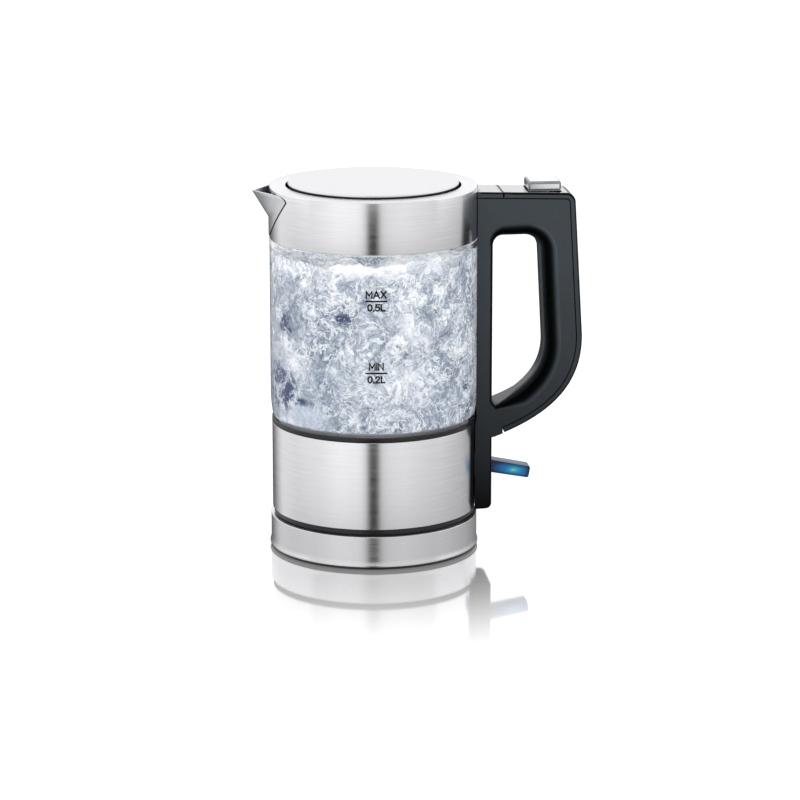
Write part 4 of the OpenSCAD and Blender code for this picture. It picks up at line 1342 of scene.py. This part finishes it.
def make_handle_cover():
    strip = strip_line()
    inner = shifted(strip, STRIP_T)
    outline = strip + list(reversed(inner))
    if area(outline) < 0:
        outline.reverse()
    radii = [0.35 if any((Vector(p) - Vector(q)).length < 1e-6 for q in inner) else 1.1 for p in outline]
    cover = slab("handle_strip", [(outline, radii)], HANDLE_HALF)
    cut(cover, block("button_room", 77.9, 95.6, -9.2, 9.2, 175, 195, 0.4, 2))
    piece(cover, HANDLE, "jug", "handle_plastic", "handle_cover")
    finish_top(cover)


def make_hinge_cover():
    z0, z1 = top_z(53), top_z(SEAM_X)
    outline = [(52.9, z0 - STRIP_T), (SEAM_X - 0.35, z1 - STRIP_T), (SEAM_X - 0.35, z1), (52.9, z0)]
    outline = resample(outline, 1.5)
    radii = [0.9 if z > z0 - STRIP_T / 2 else 0.3 for x, z in outline]
    radii = [0.25 if x < 53.2 else r for (x, z), r in zip(outline, radii)]
    cover = slab("hinge_cap_black", [(outline, radii)], HANDLE_HALF, lambda z: JUG_R + 0.12)
    piece(cover, HANDLE, "jug", "handle_plastic", "hinge_cover")
    finish_top(cover)


def make_button():
    top = block("button_top", 78.3, 95.2, -8.8, 8.8, 184.6, 189.75, 1.5, 6)
    skirt = block("button_skirt", 78.7, 94.8, -8.4, 8.4, 184.4, 186.4, 0.4, 2)
    outline = [(82, 172.8), (86, 172.8), (86, 178.0), (92.4, 185.5), (92.4, 186.0), (82, 186.0)]
    stem = extruded("button_stem", outline, -2.6, 2.6)
    button = join("release_button", [top, skirt, stem])
    piece(button, SILVER, "button", "button_silver", "lid_button")
    # painted shade on the button's rounded top edges and corners
    paint_faces(button, SILVER_EDGE_SHADE, lambda f: f.center.z > 0.187 and 0.1 < abs(f.normal.z) < 0.95)
    paint_faces(button, SILVER_EDGE_SHADE, lambda f: abs(f.normal.x) > 0.2 and abs(f.normal.y) > 0.2)


def make_lever_piece():
    length = 31.3
    outline = [(-5.5, -1.2), (0, -3.35), (length - 0.6, -3.0), (length, -2.4), (length, 2.4),
               (length - 0.6, 3.0), (0, 3.35), (-5.5, 1.2)]
    lever = extruded("power_lever", outline, -4.7, 4.7, 0.8, 4)
    turn = Matrix.Translation(Vector((PIVOT[0], 0, PIVOT[1])) * MM)
    turn = turn @ Matrix.Rotation(math.radians(LEVER_TILT), 4, "Y")
    lever.data.transform(turn)
    piece(lever, LEVER, "lever", "lever_translucent", "switch_lever")


def make_springs():
    button_spring = coil("button_spring_coil", (84, 0, 164.6), (0, 0, 1), 2.4, 0.35, 5, 8.1)
    piece(button_spring, ZINC, "jug", "fastener_steel", "button_spring")
    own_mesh(button_spring)
    latch_spring = coil("latch_spring_coil", (92.7, 0, 179.6), (1, 0, 0), 0.95, 0.25, 4, 5.2)
    piece(latch_spring, ZINC, "jug", "fastener_steel", "latch_spring")
    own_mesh(latch_spring)
    lid_spring = coil("lid_spring_coil", (48.8, 3.3, 184), (0, -1, 0), 1.6, 0.3, 8, 6.6)
    piece(lid_spring, ZINC, "jug", "fastener_steel", "lid_spring")


make_base_ring()
make_band()
make_lower_ring()
make_glass_body()
make_water_body()
make_bubbles()
make_marks()
make_collar()
make_spout()
make_lid()
make_handle_body()
make_handle_cover()
make_hinge_cover()
make_button()
make_lever_piece()
make_springs()

# ---------------------------------------------------------------- floor, light and camera

CAMERA_AT = Vector((-0.1669, -1.6351, 0.4744))


def make_floor():
    size = 3.0
    mesh = bpy.data.meshes.new("studio_floor")
    corners = [(-size, -size, -0.0002), (size, -size, -0.0002), (size, size, -0.0002),
               (-size, size, -0.0002)]
    mesh.from_pydata(corners, [], [(0, 1, 2, 3)])
    floor = bpy.data.objects.new("studio_floor", mesh)
    bpy.context.scene.collection.objects.link(floor)
    material = bpy.data.materials.new("floor")
    material.use_nodes = True
    tree = material.node_tree
    tree.nodes.clear()
    out = tree.nodes.new("ShaderNodeOutputMaterial")
    glow = tree.nodes.new("ShaderNodeEmission")
    glow.inputs["Strength"].default_value = 0.92
    plain = tree.nodes.new("ShaderNodeBsdfDiffuse")
    plain.inputs["Color"].default_value = (0.22, 0.22, 0.22, 1)
    base = tree.nodes.new("ShaderNodeAddShader")
    tree.links.new(glow.outputs[0], base.inputs[0])
    tree.links.new(plain.outputs[0], base.inputs[1])
    gloss = tree.nodes.new("ShaderNodeBsdfGlossy")
    gloss.inputs["Roughness"].default_value = 0.06
    coords = tree.nodes.new("ShaderNodeTexCoord")
    away = tree.nodes.new("ShaderNodeVectorMath")
    away.operation = "LENGTH"
    tree.links.new(coords.outputs["Object"], away.inputs[0])
    fade = tree.nodes.new("ShaderNodeMapRange")
    fade.interpolation_type = "SMOOTHSTEP"
    fade.inputs["From Min"].default_value = 0.05
    fade.inputs["From Max"].default_value = 0.235
    fade.inputs["To Min"].default_value = 0.82
    fade.inputs["To Max"].default_value = 0.0
    tree.links.new(away.outputs["Value"], fade.inputs["Value"])
    mix = tree.nodes.new("ShaderNodeMixShader")
    tree.links.new(fade.outputs[0], mix.inputs["Fac"])
    tree.links.new(base.outputs[0], mix.inputs[1])
    tree.links.new(gloss.outputs[0], mix.inputs[2])
    tree.links.new(mix.outputs[0], out.inputs["Surface"])
    mesh.materials.append(material)
    floor.visible_glossy = False


def make_world():
    """Even white light with a narrow dark gap between two wide panels, on the camera's side."""
    world = bpy.data.worlds.new("studio")
    bpy.context.scene.world = world
    world.use_nodes = True
    tree = world.node_tree
    tree.nodes.clear()
    links = tree.links
    out = tree.nodes.new("ShaderNodeOutputWorld")
    sky = tree.nodes.new("ShaderNodeBackground")
    links.new(sky.outputs[0], out.inputs["Surface"])
    coords = tree.nodes.new("ShaderNodeTexCoord")
    axes = tree.nodes.new("ShaderNodeSeparateXYZ")
    turn = tree.nodes.new("ShaderNodeVectorRotate")
    turn.rotation_type = "Z_AXIS"
    heading = math.atan2(CAMERA_AT.y, CAMERA_AT.x)
    turn.inputs["Angle"].default_value = -heading
    links.new(coords.outputs["Generated"], turn.inputs["Vector"])
    links.new(turn.outputs[0], axes.inputs[0])
    angle = tree.nodes.new("ShaderNodeMath")
    angle.operation = "ARCTAN2"
    links.new(axes.outputs["Y"], angle.inputs[0])
    links.new(axes.outputs["X"], angle.inputs[1])
    share = tree.nodes.new("ShaderNodeMapRange")
    share.inputs["From Min"].default_value = -math.pi
    share.inputs["From Max"].default_value = math.pi
    links.new(angle.outputs[0], share.inputs["Value"])
    ramp = tree.nodes.new("ShaderNodeValToRGB")
    # degrees from the camera's side, positive towards the handle, and brightness there
    stops = [(-180, 0.04), (-166, 0.06), (-150, 0.24), (-128, 0.88), (-95, 0.84), (-60, 1.02),
             (-40, 1.16), (-16, 1.12), (-9, 0.9), (-4.6, 0.0), (3.8, 0.0), (8.0, 0.8),
             (18, 0.94), (34, 0.98), (70, 0.8), (100, 0.62), (122, 0.52), (150, 0.3), (180, 0.04)]
    elements = ramp.color_ramp.elements
    while len(elements) < len(stops):
        elements.new(0.5)
    for e, (degrees, level) in zip(elements, stops):
        e.position = (degrees + 180) / 360
        e.color = (level, level, level * 1.01, 1)
    links.new(share.outputs[0], ramp.inputs["Fac"])
    height = tree.nodes.new("ShaderNodeMapRange")
    height.inputs["From Min"].default_value = -0.02
    height.inputs["From Max"].default_value = 0.1
    links.new(axes.outputs["Z"], height.inputs["Value"])
    top = tree.nodes.new("ShaderNodeMix")
    top.data_type = "RGBA"
    links.new(height.outputs[0], top.inputs[0])
    links.new(ramp.outputs["Color"], top.inputs[6])
    top.inputs[7].default_value = (1.28, 1.28, 1.3, 1)
    back = tree.nodes.new("ShaderNodeMath")
    back.operation = "LESS_THAN"
    back.inputs[1].default_value = 0.25
    links.new(axes.outputs["X"], back.inputs[0])
    pick = tree.nodes.new("ShaderNodeMix")
    pick.data_type = "RGBA"
    links.new(back.outputs[0], pick.inputs[0])
    # above the panels the gap is closed
    over = tree.nodes.new("ShaderNodeMapRange")
    over.interpolation_type = "SMOOTHSTEP"
    over.inputs["From Min"].default_value = 0.1
    over.inputs["From Max"].default_value = 0.2
    over.inputs["To Max"].default_value = 0.95
    links.new(axes.outputs["Z"], over.inputs["Value"])
    front = tree.nodes.new("ShaderNodeMix")
    front.data_type = "RGBA"
    front.blend_type = "LIGHTEN"
    front.inputs[0].default_value = 1.0
    links.new(ramp.outputs["Color"], front.inputs[6])
    links.new(over.outputs[0], front.inputs[7])
    links.new(front.outputs[2], pick.inputs[6])
    links.new(top.outputs[2], pick.inputs[7])
    # less light from below
    low = tree.nodes.new("ShaderNodeMapRange")
    low.interpolation_type = "SMOOTHSTEP"
    low.inputs["From Min"].default_value = -0.62
    low.inputs["From Max"].default_value = -0.3
    low.inputs["To Min"].default_value = 0.12
    low.inputs["To Max"].default_value = 1.0
    links.new(axes.outputs["Z"], low.inputs["Value"])
    dimmed = tree.nodes.new("ShaderNodeVectorMath")
    dimmed.operation = "SCALE"
    links.new(pick.outputs[2], dimmed.inputs[0])
    links.new(low.outputs[0], dimmed.inputs["Scale"])
    path = tree.nodes.new("ShaderNodeLightPath")
    seen = tree.nodes.new("ShaderNodeMath")
    seen.operation = "MAXIMUM"
    links.new(path.outputs["Is Camera Ray"], seen.inputs[0])
    links.new(path.outputs["Is Transmission Ray"], seen.inputs[1])
    final = tree.nodes.new("ShaderNodeMix")
    final.data_type = "RGBA"
    links.new(seen.outputs[0], final.inputs[0])
    links.new(dimmed.outputs[0], final.inputs[6])
    final.inputs[7].default_value = (1.02, 1.02, 1.02, 1)
    links.new(final.outputs[2], sky.inputs["Color"])


def add_panel(name, location, target, size, power):
    data = bpy.data.lights.new(name, "AREA")
    data.shape = "RECTANGLE"
    data.size, data.size_y = size
    data.energy = power
    lamp = bpy.data.objects.new(name, data)
    bpy.context.scene.collection.objects.link(lamp)
    lamp.location = location
    lamp.rotation_euler = (Vector(target) - Vector(location)).to_track_quat("-Z", "Y").to_euler()
    lamp.visible_glossy = False
    return lamp


def make_camera():
    data = bpy.data.cameras.new("camera")
    data.lens = 147.65
    data.sensor_width = 36
    camera = bpy.data.objects.new("camera", data)
    bpy.context.scene.collection.objects.link(camera)
    camera.location = CAMERA_AT
    camera.rotation_euler = (math.radians(76.364), 0, math.radians(-6.3))
    bpy.context.scene.camera = camera


make_floor()
make_world()
add_panel("top_panel", (-0.3, -0.4, 1.1), (0, 0, 0.1), (0.9, 0.9), 5.0)
make_camera()
bpy.context.scene.view_settings.view_transform = "Standard"
